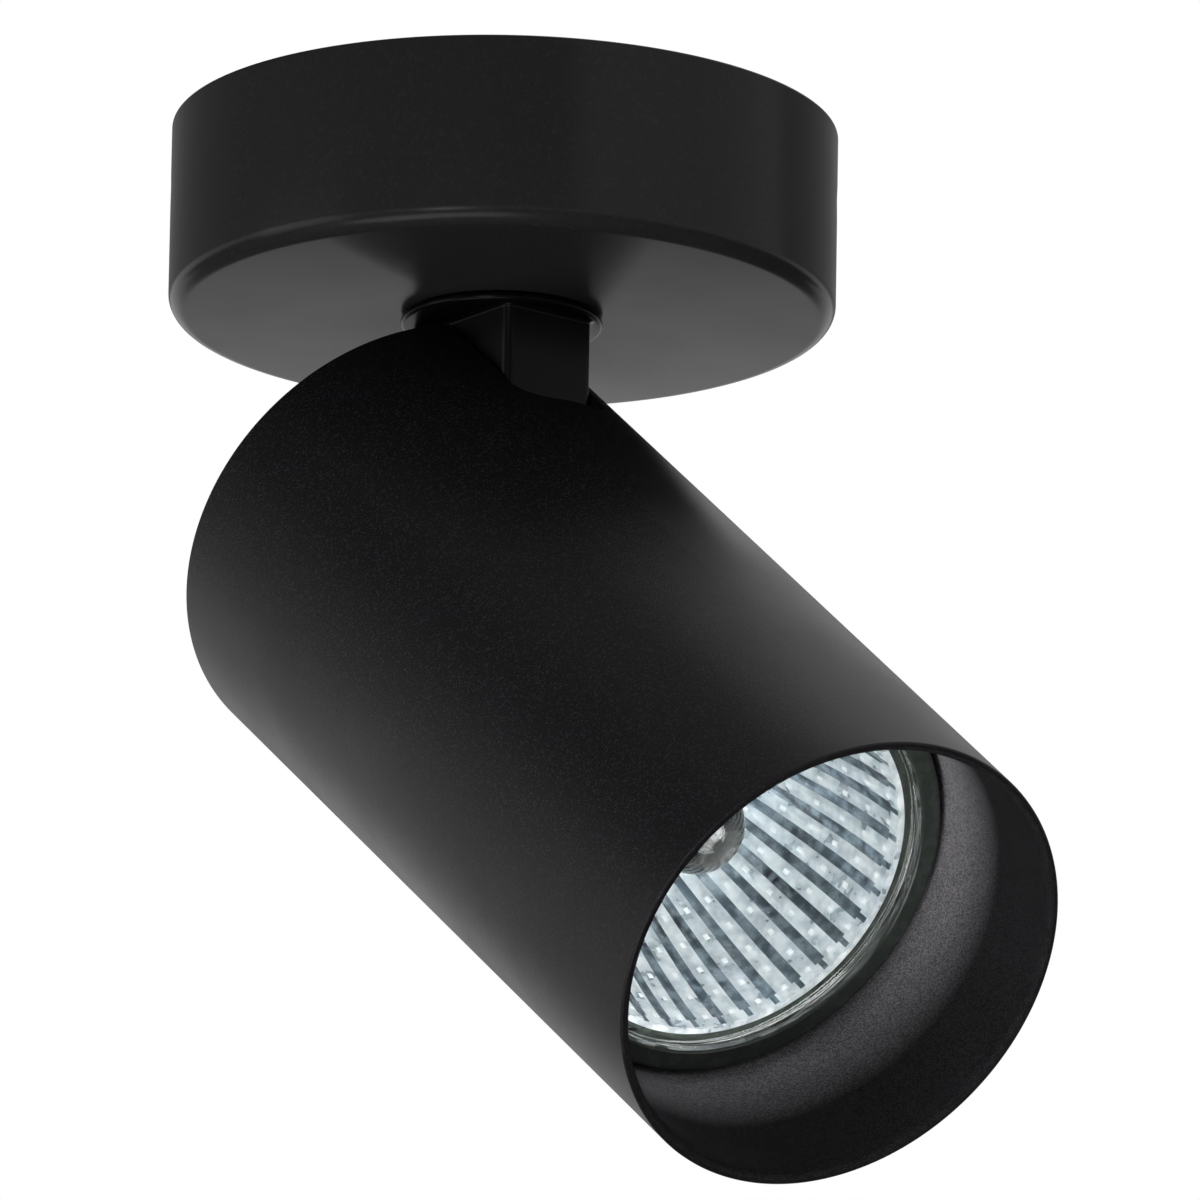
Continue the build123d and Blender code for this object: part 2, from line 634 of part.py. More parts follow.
def lamp_reflector():
    # A pressed bowl: outer and inner curves from the neck to the front rim.
    neck = LAMP_SEAT - LAMP_BASE_H
    rim_back = LAMP_FRONT + LAMP_RIM_T
    seat = LAMP_FRONT + LAMP_GLASS_T
    glass_r = LAMP_GLASS_D / 2 + CEMENT_GAP
    hole_r = CAPSULE_D / 2 + CAPSULE_WALL
    inner_r = LAMP_OPENING_D / 2
    outer_r = inner_r + LAMP_BOWL_WALL
    outer_mid = (LAMP_NECK_D / 2 + (outer_r - LAMP_NECK_D / 2) * LAMP_BOWL_BULGE, (neck + rim_back) / 2)
    inner_mid = (hole_r + (inner_r - hole_r) * LAMP_BOWL_BULGE, (neck + seat) / 2)
    outline = Polyline((inner_r, seat), (glass_r, seat), (glass_r, LAMP_FRONT), (LAMP_RIM_D / 2, LAMP_FRONT))
    outline += Polyline((LAMP_RIM_D / 2, LAMP_FRONT), (LAMP_RIM_D / 2, rim_back), (outer_r, rim_back))
    outline += ThreePointArc((outer_r, rim_back), outer_mid, (LAMP_NECK_D / 2, neck))
    outline += Line((LAMP_NECK_D / 2, neck), (hole_r, neck))
    outline += ThreePointArc((hole_r, neck), inner_mid, (inner_r, seat))
    return revolve(Plane.XZ * make_face(outline), Axis.Z)


def lamp_front_glass():
    return disc(LAMP_GLASS_D, LAMP_FRONT, LAMP_FRONT + LAMP_GLASS_T)


def capsule_body(diameter, low, high):
    # A round tube closed by a dome at its low end.
    radius = diameter / 2
    return disc(diameter, low + radius, high) + Pos(0, 0, low + radius) * Sphere(radius)


def capsule_tip():
    return LAMP_SEAT - LAMP_BASE_H - CAPSULE_REACH


def lamp_capsule():
    top = LAMP_SEAT - PIN_SUNK - CAPSULE_WALL
    whole = capsule_body(CAPSULE_D, capsule_tip(), top)
    bore_d = CAPSULE_D - 2 * CAPSULE_WALL
    return whole - capsule_body(bore_d, capsule_tip() + CAPSULE_WALL, top - CAPSULE_WALL)


def lamp_filament():
    top = LAMP_SEAT - PIN_SUNK - 2 * CAPSULE_WALL
    low = capsule_tip() + CAPSULE_D / 2
    half = FILAMENT_GAP / 2
    route = FilletPolyline((-half, 0, top), (-half, 0, low), (half, 0, low), (half, 0, top), radius=FILAMENT_D)
    section = Plane(origin=route @ 0, z_dir=route % 0) * Circle(FILAMENT_D / 2)
    return sweep(section, path=route)


# Leads. In the nipple they lie round its axis, each at its own turn.
def lead_spot(turn):
    return LEAD_RING_R * cos(radians(turn)), LEAD_RING_R * sin(radians(turn))


def terminal_lead(side, turn):
    x, y = lead_spot(turn + REST_SWIVEL)
    clamp_x = side * TERMINAL_PITCH / 2
    clamp_y = TERMINAL_Y - TERMINAL_L / 2
    points = [
        (clamp_x, clamp_y + CLAMP_D, TERMINAL_Z),
        (clamp_x, clamp_y - CLAMP_D, TERMINAL_Z),
        (x, y, LEAD_Z),
        (x, y, LEAD_JOIN),
    ]
    return lead(points, LEAD_BEND_R)


def tag_lead(turn):
    x, y = lead_spot(turn + REST_SWIVEL)
    tail_x = EARTH_SCREW_X + TAG_D / 2 + TAG_TAIL_L / 2
    tail_z = -STRAP_T - TAG_T - LEAD_D / 2
    points = [(tail_x, 0, tail_z), (x, y, LEAD_Z), (x, y, LEAD_JOIN)]
    return lead(points, LEAD_BEND_R / 2)


def port_point(turn, out):
    # A lead's place in the knuckle's port, as far out along it as asked, from the pivot.
    x, y = lead_spot(turn)
    across = y * sin(PORT_SLOPE) + out * cos(PORT_SLOPE)
    rise = WIRE_PORT_RISE + y * cos(PORT_SLOPE) - out * sin(PORT_SLOPE)
    return x, across, rise


def knuckle_lead(turn):
    x, y = lead_spot(turn)
    corner_z = PORT_Z + y * tan((radians(90) - PORT_SLOPE) / 2)
    exit_x, exit_y, exit_rise = port_point(turn, PORT_L)
    points = [(x, y, LEAD_JOIN), (x, y, corner_z), (exit_x, exit_y, PIVOT_Z + exit_rise)]
    return lead(points, LEAD_BEND_R)


def exit_points(turn):
    # Where a lead leaves the knuckle at rest, seen from the head, and a point straight on from there.
    tilt = radians(REST_TILT)
    points = []
    for out in (PORT_L, PORT_L + LEAD_EXIT_RUN):
        x, y, z = port_point(turn, out)
        points.append((x, y * cos(tilt) - z * sin(tilt), y * sin(tilt) + z * cos(tilt)))
    return points


def holder_lead(side, turn):
    x = side * PIN_SPACING / 2
    points = exit_points(turn) + [
        (side * LEAD_ARCH_X, PIVOT_OFFSET + LEAD_ARCH_Y, LEAD_ARCH_Z),
        (x, PIVOT_OFFSET + LEAD_DROP_Y, LEAD_DROP_Z),
        (x, PIVOT_OFFSET, -LEAD_HOLE_DEPTH),
        (x, PIVOT_OFFSET, BULKHEAD_FRONT),
    ]
    return lead(points, LEAD_HEAD_BEND_R)


def bulkhead_lead(turn):
    tail_y = PIVOT_OFFSET + EARTH_TAG_R - TAG_D / 2 - TAG_TAIL_L / 2
    points = exit_points(turn) + [
        (0, PIVOT_OFFSET + EARTH_ARCH_Y, EARTH_ARCH_Z),
        (0, tail_y, EARTH_DROP_Z),
        (0, tail_y, BULKHEAD_REAR + TAG_T),
    ]
    return lead(points, LEAD_HEAD_BEND_R)


os.makedirs("parts", exist_ok=True)
save("canopy", canopy())
save("ceiling_bracket", ceiling_bracket())
save("canopy_grub_screws", canopy_grub_screws())
save("stop_pin", stop_pin())
save("terminal_body", terminal_body())
save("terminal_clamps", terminal_clamps())
save("terminal_screws", terminal_screws())
save("terminal_fixing_screw", terminal_fixing_screw())
save("earth_tag", earth_tag())
save("earth_screw", earth_screw())
save("upper_friction_washer", nipple_washer(FRICTION_WASHER_D, FLOOR_TOP, STOP_LOW))

save("knuckle", knuckle(), ON_KNUCKLE)
save("swivel_nipple", swivel_nipple())
save("lower_friction_washer", nipple_washer(FRICTION_WASHER_D, -CANOPY_H - LOWER_WASHER_T, -CANOPY_H))
save("stop_washer", stop_washer())
save("spring_washer", spring_washer())
save("swivel_nut", nipple_nut(SPRING_HIGH, NUT_HIGH))
save("lock_nut", nipple_nut(NUT_HIGH, LOCK_HIGH))
save("nipple_bushing", nipple_bushing())

for name, shape in {
    "lamp_tube": lamp_tube(),
    "rear_cap": rear_cap(),
    "hinge_bulkhead": hinge_bulkhead(),
    "bulkhead_set_screws": bulkhead_set_screws(),
    "pivot_screw": pivot_screw(),
    "pivot_nut": pivot_nut(),
    "pivot_washers": pivot_washers(),
    "lampholder": lampholder(),
    "lampholder_contacts": lampholder_contacts(),
    "lampholder_screws": lampholder_screws(),
    "head_earth_tag": head_earth_tag(),
    "head_earth_screw": head_earth_screw(),
}.items():
    save(name, shape, ON_HEAD)

for name, shape in {
    "lamp_base": lamp_base(),
    "lamp_pins": lamp_pins(),
    "lamp_reflector": lamp_reflector(),
    "lamp_front_glass": lamp_front_glass(),
    "lamp_capsule": lamp_capsule(),
    "lamp_filament": lamp_filament(),
}.items():
    save(name, shape, ON_HEAD * TUBE_AXIS)

for name, side, turn in (("live", -1, LIVE_TURN), ("neutral", 1, NEUTRAL_TURN)):
    save(f"{name}_lead_canopy", terminal_lead(side, turn))
    save(f"{name}_lead_knuckle", knuckle_lead(turn), ON_KNUCKLE)
    save(f"{name}_lead_head", holder_lead(side, turn), ON_HEAD)

save("earth_lead_canopy", tag_lead(EARTH_TURN))
save("earth_lead_knuckle", knuckle_lead(EARTH_TURN), ON_KNUCKLE)
save("earth_lead_head", bulkhead_lead(EARTH_TURN), ON_HEAD)
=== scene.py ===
import json
import math

import bmesh
import bpy
from mathutils import Matrix, Vector


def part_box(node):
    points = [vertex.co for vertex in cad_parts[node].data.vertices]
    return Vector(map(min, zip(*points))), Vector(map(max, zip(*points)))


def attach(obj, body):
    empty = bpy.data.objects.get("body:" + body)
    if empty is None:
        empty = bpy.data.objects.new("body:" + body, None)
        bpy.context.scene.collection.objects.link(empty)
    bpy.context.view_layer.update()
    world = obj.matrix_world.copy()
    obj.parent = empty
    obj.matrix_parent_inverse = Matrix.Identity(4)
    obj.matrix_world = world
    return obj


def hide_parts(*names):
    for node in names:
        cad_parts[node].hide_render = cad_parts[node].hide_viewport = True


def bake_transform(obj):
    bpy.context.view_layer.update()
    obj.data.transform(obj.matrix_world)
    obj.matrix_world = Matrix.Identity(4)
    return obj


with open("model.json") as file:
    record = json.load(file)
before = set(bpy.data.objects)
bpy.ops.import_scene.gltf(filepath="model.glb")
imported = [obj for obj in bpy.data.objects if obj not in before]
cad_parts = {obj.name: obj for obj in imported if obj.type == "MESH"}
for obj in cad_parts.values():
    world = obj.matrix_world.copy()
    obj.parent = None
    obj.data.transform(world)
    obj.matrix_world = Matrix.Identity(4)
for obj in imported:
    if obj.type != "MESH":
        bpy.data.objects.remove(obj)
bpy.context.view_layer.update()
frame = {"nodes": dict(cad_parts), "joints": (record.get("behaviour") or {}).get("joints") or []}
nodes = frame["nodes"]
joints = {joint["name"]: joint for joint in frame["joints"]}
scene = bpy.context.scene
mm = 0.001
creaseAngle = 32  # degrees; edges sharper than this stay sharp
print("frame loaded:", len(nodes), "nodes")


# places of the moving pieces, read from the joints
def placeFrom(origin, xDir, zDir):
    yDir = zDir.cross(xDir)
    return Matrix.Translation(origin) @ Matrix((xDir, yDir, zDir)).transposed().to_4x4()


pivot = Vector(joints["tilt"]["pos_m"])
acrossHinge = -Vector(joints["tilt"]["axis"]).normalized()
tubeAxis = Vector(joints["lamp_twist"]["axis"]).normalized()
glassCentre = Vector(joints["lamp_twist"]["pos_m"])
upward = Vector((0, 0, 1))
knucklePlace = placeFrom(pivot, acrossHinge, upward)
axisFoot = glassCentre - tubeAxis * (glassCentre - pivot).dot(tubeAxis)
tubePlace = placeFrom(axisFoot, acrossHinge, tubeAxis)  # same heights as the head, but on the tube's axis
lampFront = (glassCentre - pivot).dot(tubeAxis)


# mesh helpers
def arcPoints(centre, radius, start, end, steps):
    points = []
    for step in range(steps + 1):
        angle = start + (end - start) * step / steps
        points.append((centre[0] + radius * math.cos(angle), centre[1] + radius * math.sin(angle)))
    return points


def roundCorners(corners, steps=6):
    # corners are (across, along, radius); a radius of 0 stays sharp
    outline = []
    for index, (x, y, radius) in enumerate(corners):
        here = Vector((x, y))
        before = (Vector(corners[index - 1][:2]) - here).normalized()
        after = (Vector(corners[(index + 1) % len(corners)][:2]) - here).normalized()
        if radius == 0:
            outline.append((x, y))
            continue
        half = before.angle(after) / 2
        centre = here + (before + after).normalized() * (radius / math.sin(half))
        first = here + before * (radius / math.tan(half)) - centre
        last = here + after * (radius / math.tan(half)) - centre
        start = math.atan2(first.y, first.x)
        turn = (math.atan2(last.y, last.x) - start + math.pi) % (2 * math.pi) - math.pi
        outline += arcPoints(centre, radius, start, start + turn, steps)
    return outline


def threePointArc(a, b, c, steps):
    # points on the circle through a, b and c, from a to c
    ax, ay, bx, by, cx, cy = *a, *b, *c
    d = 2 * (ax * (by - cy) + bx * (cy - ay) + cx * (ay - by))
    a2, b2, c2 = ax * ax + ay * ay, bx * bx + by * by, cx * cx + cy * cy
    centre = Vector((a2 * (by - cy) + b2 * (cy - ay) + c2 * (ay - by),
                     a2 * (cx - bx) + b2 * (ax - cx) + c2 * (bx - ax)))
    centre /= d
    start = math.atan2(ay - centre.y, ax - centre.x)
    turn = (math.atan2(cy - centre.y, cx - centre.x) - start + math.pi) % (2 * math.pi) - math.pi
    return arcPoints(centre, (Vector(a) - centre).length, start, start + turn, steps)


def closeMesh(name, bm, place, sharpAngle=creaseAngle):
    bmesh.ops.remove_doubles(bm, verts=bm.verts, dist=1e-7)
    bmesh.ops.recalc_face_normals(bm, faces=bm.faces)
    mesh = bpy.data.meshes.new(name)
    bm.to_mesh(mesh)
    bm.free()
    piece = bpy.data.objects.new(name, mesh)
    mesh.transform(place)  # the place goes into the vertices, as in the frame
    scene.collection.objects.link(piece)
    shadeMesh(mesh, sharpAngle)
    return piece


def shadeMesh(mesh, sharpAngle):
    mesh.polygons.foreach_set("use_smooth", [True] * len(mesh.polygons))
    mesh.set_sharp_from_angle(angle=math.radians(sharpAngle))


def loftRings(bm, rings, closedRows=False, capEnds=False):
    # rings are equal lists of points; quads join each ring to the next
    rows = [[bm.verts.new(point) for point in ring] for ring in rings]
    pairs = list(zip(rows, rows[1:]))
    if closedRows:
        pairs.append((rows[-1], rows[0]))
    for low, high in pairs:
        for i in range(len(low)):
            j = (i + 1) % len(low)
            bm.faces.new((low[i], low[j], high[j], high[i]))
    if capEnds:
        bm.faces.new(rows[0])
        bm.faces.new(rows[-1])
    return rows


def turned(name, outline, place, turns=224, sharpAngle=creaseAngle):
    # a closed outline of (radius, height) turned round the place's own Z
    bm = bmesh.new()
    rings = []
    for radius, height in outline:
        ring = []
        for turn in range(turns):
            angle = 2 * math.pi * turn / turns
            ring.append((radius * math.cos(angle), radius * math.sin(angle), height))
        rings.append(ring)
    loftRings(bm, rings, closedRows=True)
    return closeMesh(name, bm, place, sharpAngle)


def prism(name, outline, low, high, place, sharpAngle=creaseAngle):
    bm = bmesh.new()
    loftRings(bm, [[(x, y, z) for x, y in outline] for z in (low, high)], capEnds=True)
    return closeMesh(name, bm, place, sharpAngle)


def rod(radius, low, high, place, sides=56):
    return prism("rod", arcPoints((0, 0), radius, 0, 2 * math.pi, sides)[:-1], low, high, place)


def ball(radius, place):
    bm = bmesh.new()
    bmesh.ops.create_uvsphere(bm, u_segments=56, v_segments=28, radius=radius)
    return closeMesh("ball", bm, place)


def combine(piece, tools, operation, sharpAngle=creaseAngle):
    for tool in tools:
        step = piece.modifiers.new("shape", "BOOLEAN")
        step.operation = operation
        step.solver = "EXACT"
        step.object = tool
    view = bpy.context.evaluated_depsgraph_get()
    mesh = bpy.data.meshes.new_from_object(piece.evaluated_get(view))
    piece.modifiers.clear()
    piece.data = mesh
    shadeMesh(mesh, sharpAngle)
    for tool in tools:
        bpy.data.objects.remove(tool)


# shader helpers
def put(tree, kind, inputs=None, **settings):
    made = tree.nodes.new(kind)
    for key, value in settings.items():
        setattr(made, key, value)
    for key, value in (inputs or {}).items():
        if isinstance(value, bpy.types.NodeSocket):
            tree.links.new(value, made.inputs[key])
        else:
            made.inputs[key].default_value = value
    return made


def newGroup(name, inputs, outputs):
    group = bpy.data.node_groups.new(name, "ShaderNodeTree")
    for label, value in inputs.items():
        group.interface.new_socket(label, in_out="INPUT",
                                   socket_type="NodeSocketFloat").default_value = value
    for label in outputs:
        group.interface.new_socket(label, in_out="OUTPUT", socket_type="NodeSocketFloat")
    return group, put(group, "NodeGroupInput").outputs, put(group, "NodeGroupOutput")


def makePaintSkin():
    # fine grain, bright specks and slow unevenness of a sprayed coat
    group, given, out = newGroup("paintSkin", {"Grain": 4000.0, "Specks": 0.1, "Blotch": 40.0},
                                 ["Height", "Speck", "Uneven"])
    spot = put(group, "ShaderNodeTexCoord").outputs["Object"]
    grain = put(group, "ShaderNodeTexNoise",
                {"Vector": spot, "Scale": given["Grain"], "Detail": 2.0, "Roughness": 0.6})
    cells = put(group, "ShaderNodeTexVoronoi", {"Vector": spot, "Scale": given["Grain"]})
    tint = put(group, "ShaderNodeSeparateColor", {"Color": cells.outputs["Color"]})
    limit = put(group, "ShaderNodeMath", {0: 1.0, 1: given["Specks"]}, operation="SUBTRACT")
    speck = put(group, "ShaderNodeMath", {0: tint.outputs["Red"], 1: limit.outputs[0]},
                operation="GREATER_THAN")
    slow = put(group, "ShaderNodeTexNoise", {"Vector": spot, "Scale": given["Blotch"], "Detail": 3.0})
    group.links.new(grain.outputs["Fac"], out.inputs["Height"])
    group.links.new(speck.outputs[0], out.inputs["Speck"])
    group.links.new(slow.outputs["Fac"], out.inputs["Uneven"])
    return group


def makeDrawnGrain():
    # streaks along one direction, as drawn or brushed metal has
    group, given, out = newGroup("drawnGrain", {"Fine": 3000.0, "Stretch": 0.04}, ["Streak", "Uneven"])
    spot = put(group, "ShaderNodeTexCoord").outputs["Object"]
    stretch = put(group, "ShaderNodeCombineXYZ", {"X": given["Stretch"], "Y": 1.0, "Z": 1.0})
    along = put(group, "ShaderNodeVectorMath", {0: spot, 1: stretch.outputs[0]}, operation="MULTIPLY")
    streak = put(group, "ShaderNodeTexNoise",
                 {"Vector": along.outputs[0], "Scale": given["Fine"], "Detail": 2.0})
    slow = put(group, "ShaderNodeTexNoise", {"Vector": spot, "Scale": 120.0, "Detail": 3.0})
    group.links.new(streak.outputs["Fac"], out.inputs["Streak"])
    group.links.new(slow.outputs["Fac"], out.inputs["Uneven"])
    return group


paintSkin = makePaintSkin()
drawnGrain = makeDrawnGrain()
metalDepth = 0.02 * mm  # relief of drawn metal
glassDepth = 0.05 * mm  # slow waves of glass


def startFinish(name, constants):
    finish = bpy.data.materials.new(name)
    finish.use_nodes = True
    tree = finish.node_tree
    shader = tree.nodes["Principled BSDF"]
    for key, value in constants.items():
        shader.inputs[key].default_value = value
    return finish, tree, shader


def blendColors(tree, mask, dark, light):
    mix = put(tree, "ShaderNodeMix", {"Factor": mask}, data_type="RGBA")
    mix.inputs["A"].default_value = (*dark, 1)
    mix.inputs["B"].default_value = (*light, 1)
    return mix.outputs["Result"]


def spread(tree, value, low, high):
    mapped = put(tree, "ShaderNodeMapRange",
                 {"Value": value, "From Min": 0.3, "From Max": 0.7, "To Min": low, "To Max": high})
    return mapped.outputs["Result"]


def skinOf(tree, look):
    skin = put(tree, "ShaderNodeGroup", node_tree=paintSkin)
    for label in ("Grain", "Specks", "Blotch"):
        if label.lower() in look:
            skin.inputs[label].default_value = look[label.lower()]
    return skin.outputs


def dress(tree, shader, look, base, uneven, height):
    # joins the colour, an uneven roughness and a fine relief to the shader
    rough = spread(tree, uneven, look["rough"][0], look["rough"][1])
    bump = put(tree, "ShaderNodeBump",
               {"Height": height, "Strength": look["bump"], "Distance": look["depth"]})
    tree.links.new(base, shader.inputs["Base Color"])
    tree.links.new(rough, shader.inputs["Roughness"])
    tree.links.new(bump.outputs["Normal"], shader.inputs["Normal"])


def paint(name, look):
    finish, tree, shader = startFinish(name, {"IOR": look["ior"]})
    skin = skinOf(tree, look)
    base = blendColors(tree, skin["Speck"], look["colour"], look["speckColour"])
    dress(tree, shader, look, base, skin["Uneven"], skin["Height"])
    return finish


def lampGlowCoat(name, look):
    # the coat inside the tube: painted light round the lamp's front, a lighter colour standing in for the
    # lamp's light reflected in the coat; bare black away from it
    finish, tree, shader = startFinish(name, {"IOR": look["ior"]})
    skin = skinOf(tree, look)
    bare = blendColors(tree, skin["Speck"], look["colour"], look["speckColour"])
    glowColour = blendColors(tree, skin["Speck"], look["dust"], look["lampGlowSpeck"])
    spot = put(tree, "ShaderNodeTexCoord").outputs["Object"]
    height = put(tree, "ShaderNodeVectorMath", {0: spot, 1: tubeAxis}, operation="DOT_PRODUCT")
    offset = put(tree, "ShaderNodeMath", {0: height.outputs["Value"], 1: glassCentre.dot(tubeAxis)},
                 operation="SUBTRACT")
    away = put(tree, "ShaderNodeMath", {0: offset.outputs[0]}, operation="ABSOLUTE")
    share = put(tree, "ShaderNodeMapRange",
                {"Value": away.outputs[0], "From Min": look["fade"], "From Max": 0.0})
    # painted light: the lighter colour takes over within fade of the lamp's front
    base = put(tree, "ShaderNodeMix", {"Factor": share.outputs["Result"], "A": bare, "B": glowColour},
               data_type="RGBA")
    dress(tree, shader, look, base.outputs["Result"], skin["Uneven"], skin["Height"])
    return finish


def metal(name, look):
    finish, tree, shader = startFinish(name, {"Metallic": look.get("metallic", 1.0)})
    grain = put(tree, "ShaderNodeGroup", node_tree=drawnGrain)
    grain.inputs["Fine"].default_value = look["fine"]
    grain.inputs["Stretch"].default_value = look["stretch"]
    tint = grain.outputs["Uneven"]
    if "sparkle" in look:  # small facets, each of its own brightness
        tint = spread(tree, grain.outputs["Streak"], -look["sparkle"], 1 + look["sparkle"])
    base = blendColors(tree, tint, look["dark"], look["light"])
    dress(tree, shader, {**look, "depth": metalDepth}, base, grain.outputs["Streak"],
          grain.outputs["Streak"])
    return finish


def glass(name, look):
    finish, tree, shader = startFinish(name, {"Transmission Weight": 1.0, "IOR": look["ior"]})
    skin = skinOf(tree, look)
    base = blendColors(tree, skin["Uneven"], look["dark"], look["light"])
    dress(tree, shader, {**look, "depth": glassDepth}, base, skin["Uneven"], skin["Uneven"])
    return finish


paintLooks = {
    "canopy_black": {"ior": 1.2, "colour": (0.0066, 0.0066, 0.0066),
                     "speckColour": (0.0086, 0.0086, 0.0086), "specks": 0.12,
                     "grain": 3600.0, "blotch": 60.0, "rough": (0.2, 0.26), "bump": 0.08,
                     "depth": 0.05 * mm},
    "knuckle_black": {"ior": 1.17, "colour": (0.001, 0.001, 0.001), "speckColour": (0.0018, 0.0018, 0.0018),
                      "specks": 0.06, "grain": 3000.0, "blotch": 90.0, "rough": (0.2, 0.27), "bump": 0.06,
                      "depth": 0.04 * mm},
    "tube_black": {"ior": 1.26, "colour": (0.0038, 0.0034, 0.004), "speckColour": (0.0085, 0.0077, 0.009),
                   "specks": 0.14, "grain": 5200.0, "blotch": 50.0, "rough": (0.36, 0.43), "bump": 0.35,
                   "depth": 0.08 * mm},
    "rim_glass": {"ior": 1.52, "colour": (0.02, 0.0245, 0.021), "speckColour": (0.026, 0.031, 0.027),
                  "specks": 0.3,
                  "grain": 900.0, "blotch": 200.0, "rough": (0.04, 0.08), "bump": 0.01, "depth": 0.02 * mm},
    "terminal_nylon": {"ior": 1.45, "colour": (0.72, 0.72, 0.68), "speckColour": (0.66, 0.66, 0.62),
                       "specks": 0.2, "grain": 1500.0, "blotch": 120.0, "rough": (0.38, 0.5), "bump": 0.1,
                       "depth": 0.05 * mm},
    "bushing_nylon": {"ior": 1.45, "colour": (0.8, 0.79, 0.74), "speckColour": (0.74, 0.73, 0.68),
                      "specks": 0.2, "grain": 1500.0, "blotch": 120.0, "rough": (0.35, 0.48), "bump": 0.1,
                      "depth": 0.05 * mm},
    "fibre": {"ior": 1.4, "colour": (0.2, 0.045, 0.03), "speckColour": (0.28, 0.08, 0.05), "specks": 0.3,
              "grain": 2500.0, "blotch": 200.0, "rough": (0.7, 0.85), "bump": 0.4, "depth": 0.08 * mm},
    "holder_ceramic": {"ior": 1.5, "colour": (0.74, 0.72, 0.66), "speckColour": (0.64, 0.62, 0.56),
                       "specks": 0.15, "grain": 1800.0, "blotch": 90.0, "rough": (0.5, 0.65), "bump": 0.25,
                       "depth": 0.08 * mm},
    "base_ceramic": {"ior": 1.5, "colour": (0.82, 0.81, 0.77), "speckColour": (0.72, 0.71, 0.67),
                     "specks": 0.15, "grain": 1800.0, "blotch": 90.0, "rough": (0.4, 0.55), "bump": 0.2,
                     "depth": 0.08 * mm},
    "lead_brown": {"ior": 1.47, "colour": (0.11, 0.045, 0.02), "speckColour": (0.13, 0.055, 0.026),
                   "specks": 0.2, "grain": 2200.0, "blotch": 150.0, "rough": (0.35, 0.5), "bump": 0.15,
                   "depth": 0.05 * mm},
    "lead_blue": {"ior": 1.47, "colour": (0.02, 0.07, 0.32), "speckColour": (0.03, 0.085, 0.36),
                  "specks": 0.2,
                  "grain": 2200.0, "blotch": 150.0, "rough": (0.35, 0.5), "bump": 0.15, "depth": 0.05 * mm},
}
metalLooks = {
    "zinc_steel": {"dark": (0.52, 0.53, 0.53), "light": (0.72, 0.73, 0.72), "fine": 2600.0, "stretch": 0.05,
                   "rough": (0.26, 0.42), "bump": 0.3},
    "screw_steel": {"dark": (0.55, 0.55, 0.56), "light": (0.7, 0.7, 0.71), "fine": 3500.0, "stretch": 0.3,
                    "rough": (0.2, 0.34), "bump": 0.2},
    "black_steel": {"dark": (0.018, 0.018, 0.019), "light": (0.035, 0.035, 0.037), "fine": 3500.0,
                    "stretch": 0.4, "rough": (0.28, 0.42), "bump": 0.2},
    "brass": {"dark": (0.62, 0.42, 0.16), "light": (0.78, 0.57, 0.26), "fine": 3000.0, "stretch": 0.1,
              "rough": (0.22, 0.36), "bump": 0.25},
    "tinned_copper": {"dark": (0.62, 0.6, 0.57), "light": (0.78, 0.77, 0.74), "fine": 3000.0,
                      "stretch": 0.3, "rough": (0.25, 0.4), "bump": 0.25},
    "cast_aluminium": {"dark": (0.5, 0.5, 0.51), "light": (0.66, 0.66, 0.67), "fine": 1400.0,
                       "stretch": 1.0, "rough": (0.38, 0.55), "bump": 0.6},
    # painted reflection: the gaps between the ribs take this dark, bluish copy of the mirror and the ribs a
    # bright copy, standing in for facets that reflect dark and bright surroundings
    "mirror_glass": {"dark": (0.07, 0.09, 0.105), "light": (0.3, 0.34, 0.37), "fine": 700.0, "stretch": 1.0,
                     "rough": (0.05, 0.12), "bump": 0.01, "metallic": 0.85, "sparkle": 0.4},
    "mirror_lit_rib": {"dark": (0.5, 0.55, 0.58), "light": (0.88, 0.91, 0.92), "fine": 520.0, "stretch": 1.0,
                   "rough": (0.25, 0.4), "bump": 0.02, "metallic": 0.6, "sparkle": 0.2},
    # painted glints: the pads are near white, so they stay bright wherever they face
    "mirror_glint_pad": {"dark": (0.94, 0.96, 0.97), "light": (0.98, 0.99, 1.0), "fine": 900.0, "stretch": 1.0,
                   "rough": (0.3, 0.42), "bump": 0.02, "metallic": 0.2},
    "tungsten": {"dark": (0.3, 0.3, 0.31), "light": (0.42, 0.42, 0.43), "fine": 4000.0, "stretch": 0.3,
                 "rough": (0.3, 0.45), "bump": 0.3},
}
glassLooks = {
    "clear_glass": {"ior": 1.5, "dark": (0.96, 0.985, 0.98), "light": (0.975, 0.99, 0.99), "grain": 500.0,
                    "blotch": 90.0, "rough": (0.0, 0.01), "bump": 0.01},
    "quartz_glass": {"ior": 1.46, "dark": (0.97, 0.98, 0.985), "light": (0.99, 0.995, 1.0), "grain": 500.0,
                     "blotch": 160.0, "rough": (0.05, 0.12), "bump": 0.03},
}


def stripedInsulation(name, look):
    # green insulation with two yellow stripes along the lead
    finish, tree, shader = startFinish(name, {"IOR": look["ior"]})
    skin = skinOf(tree, look)
    spot = put(tree, "ShaderNodeTexCoord").outputs["Object"]
    bands = put(tree, "ShaderNodeTexWave", {"Vector": spot, "Scale": look["bands"], "Distortion": 0.0},
                bands_direction="DIAGONAL")
    stripe = put(tree, "ShaderNodeMath", {0: bands.outputs["Fac"], 1: look["share"]},
                 operation="GREATER_THAN")
    base = blendColors(tree, stripe.outputs[0], look["green"], look["yellow"])
    dress(tree, shader, look, base, skin["Uneven"], skin["Height"])
    return finish
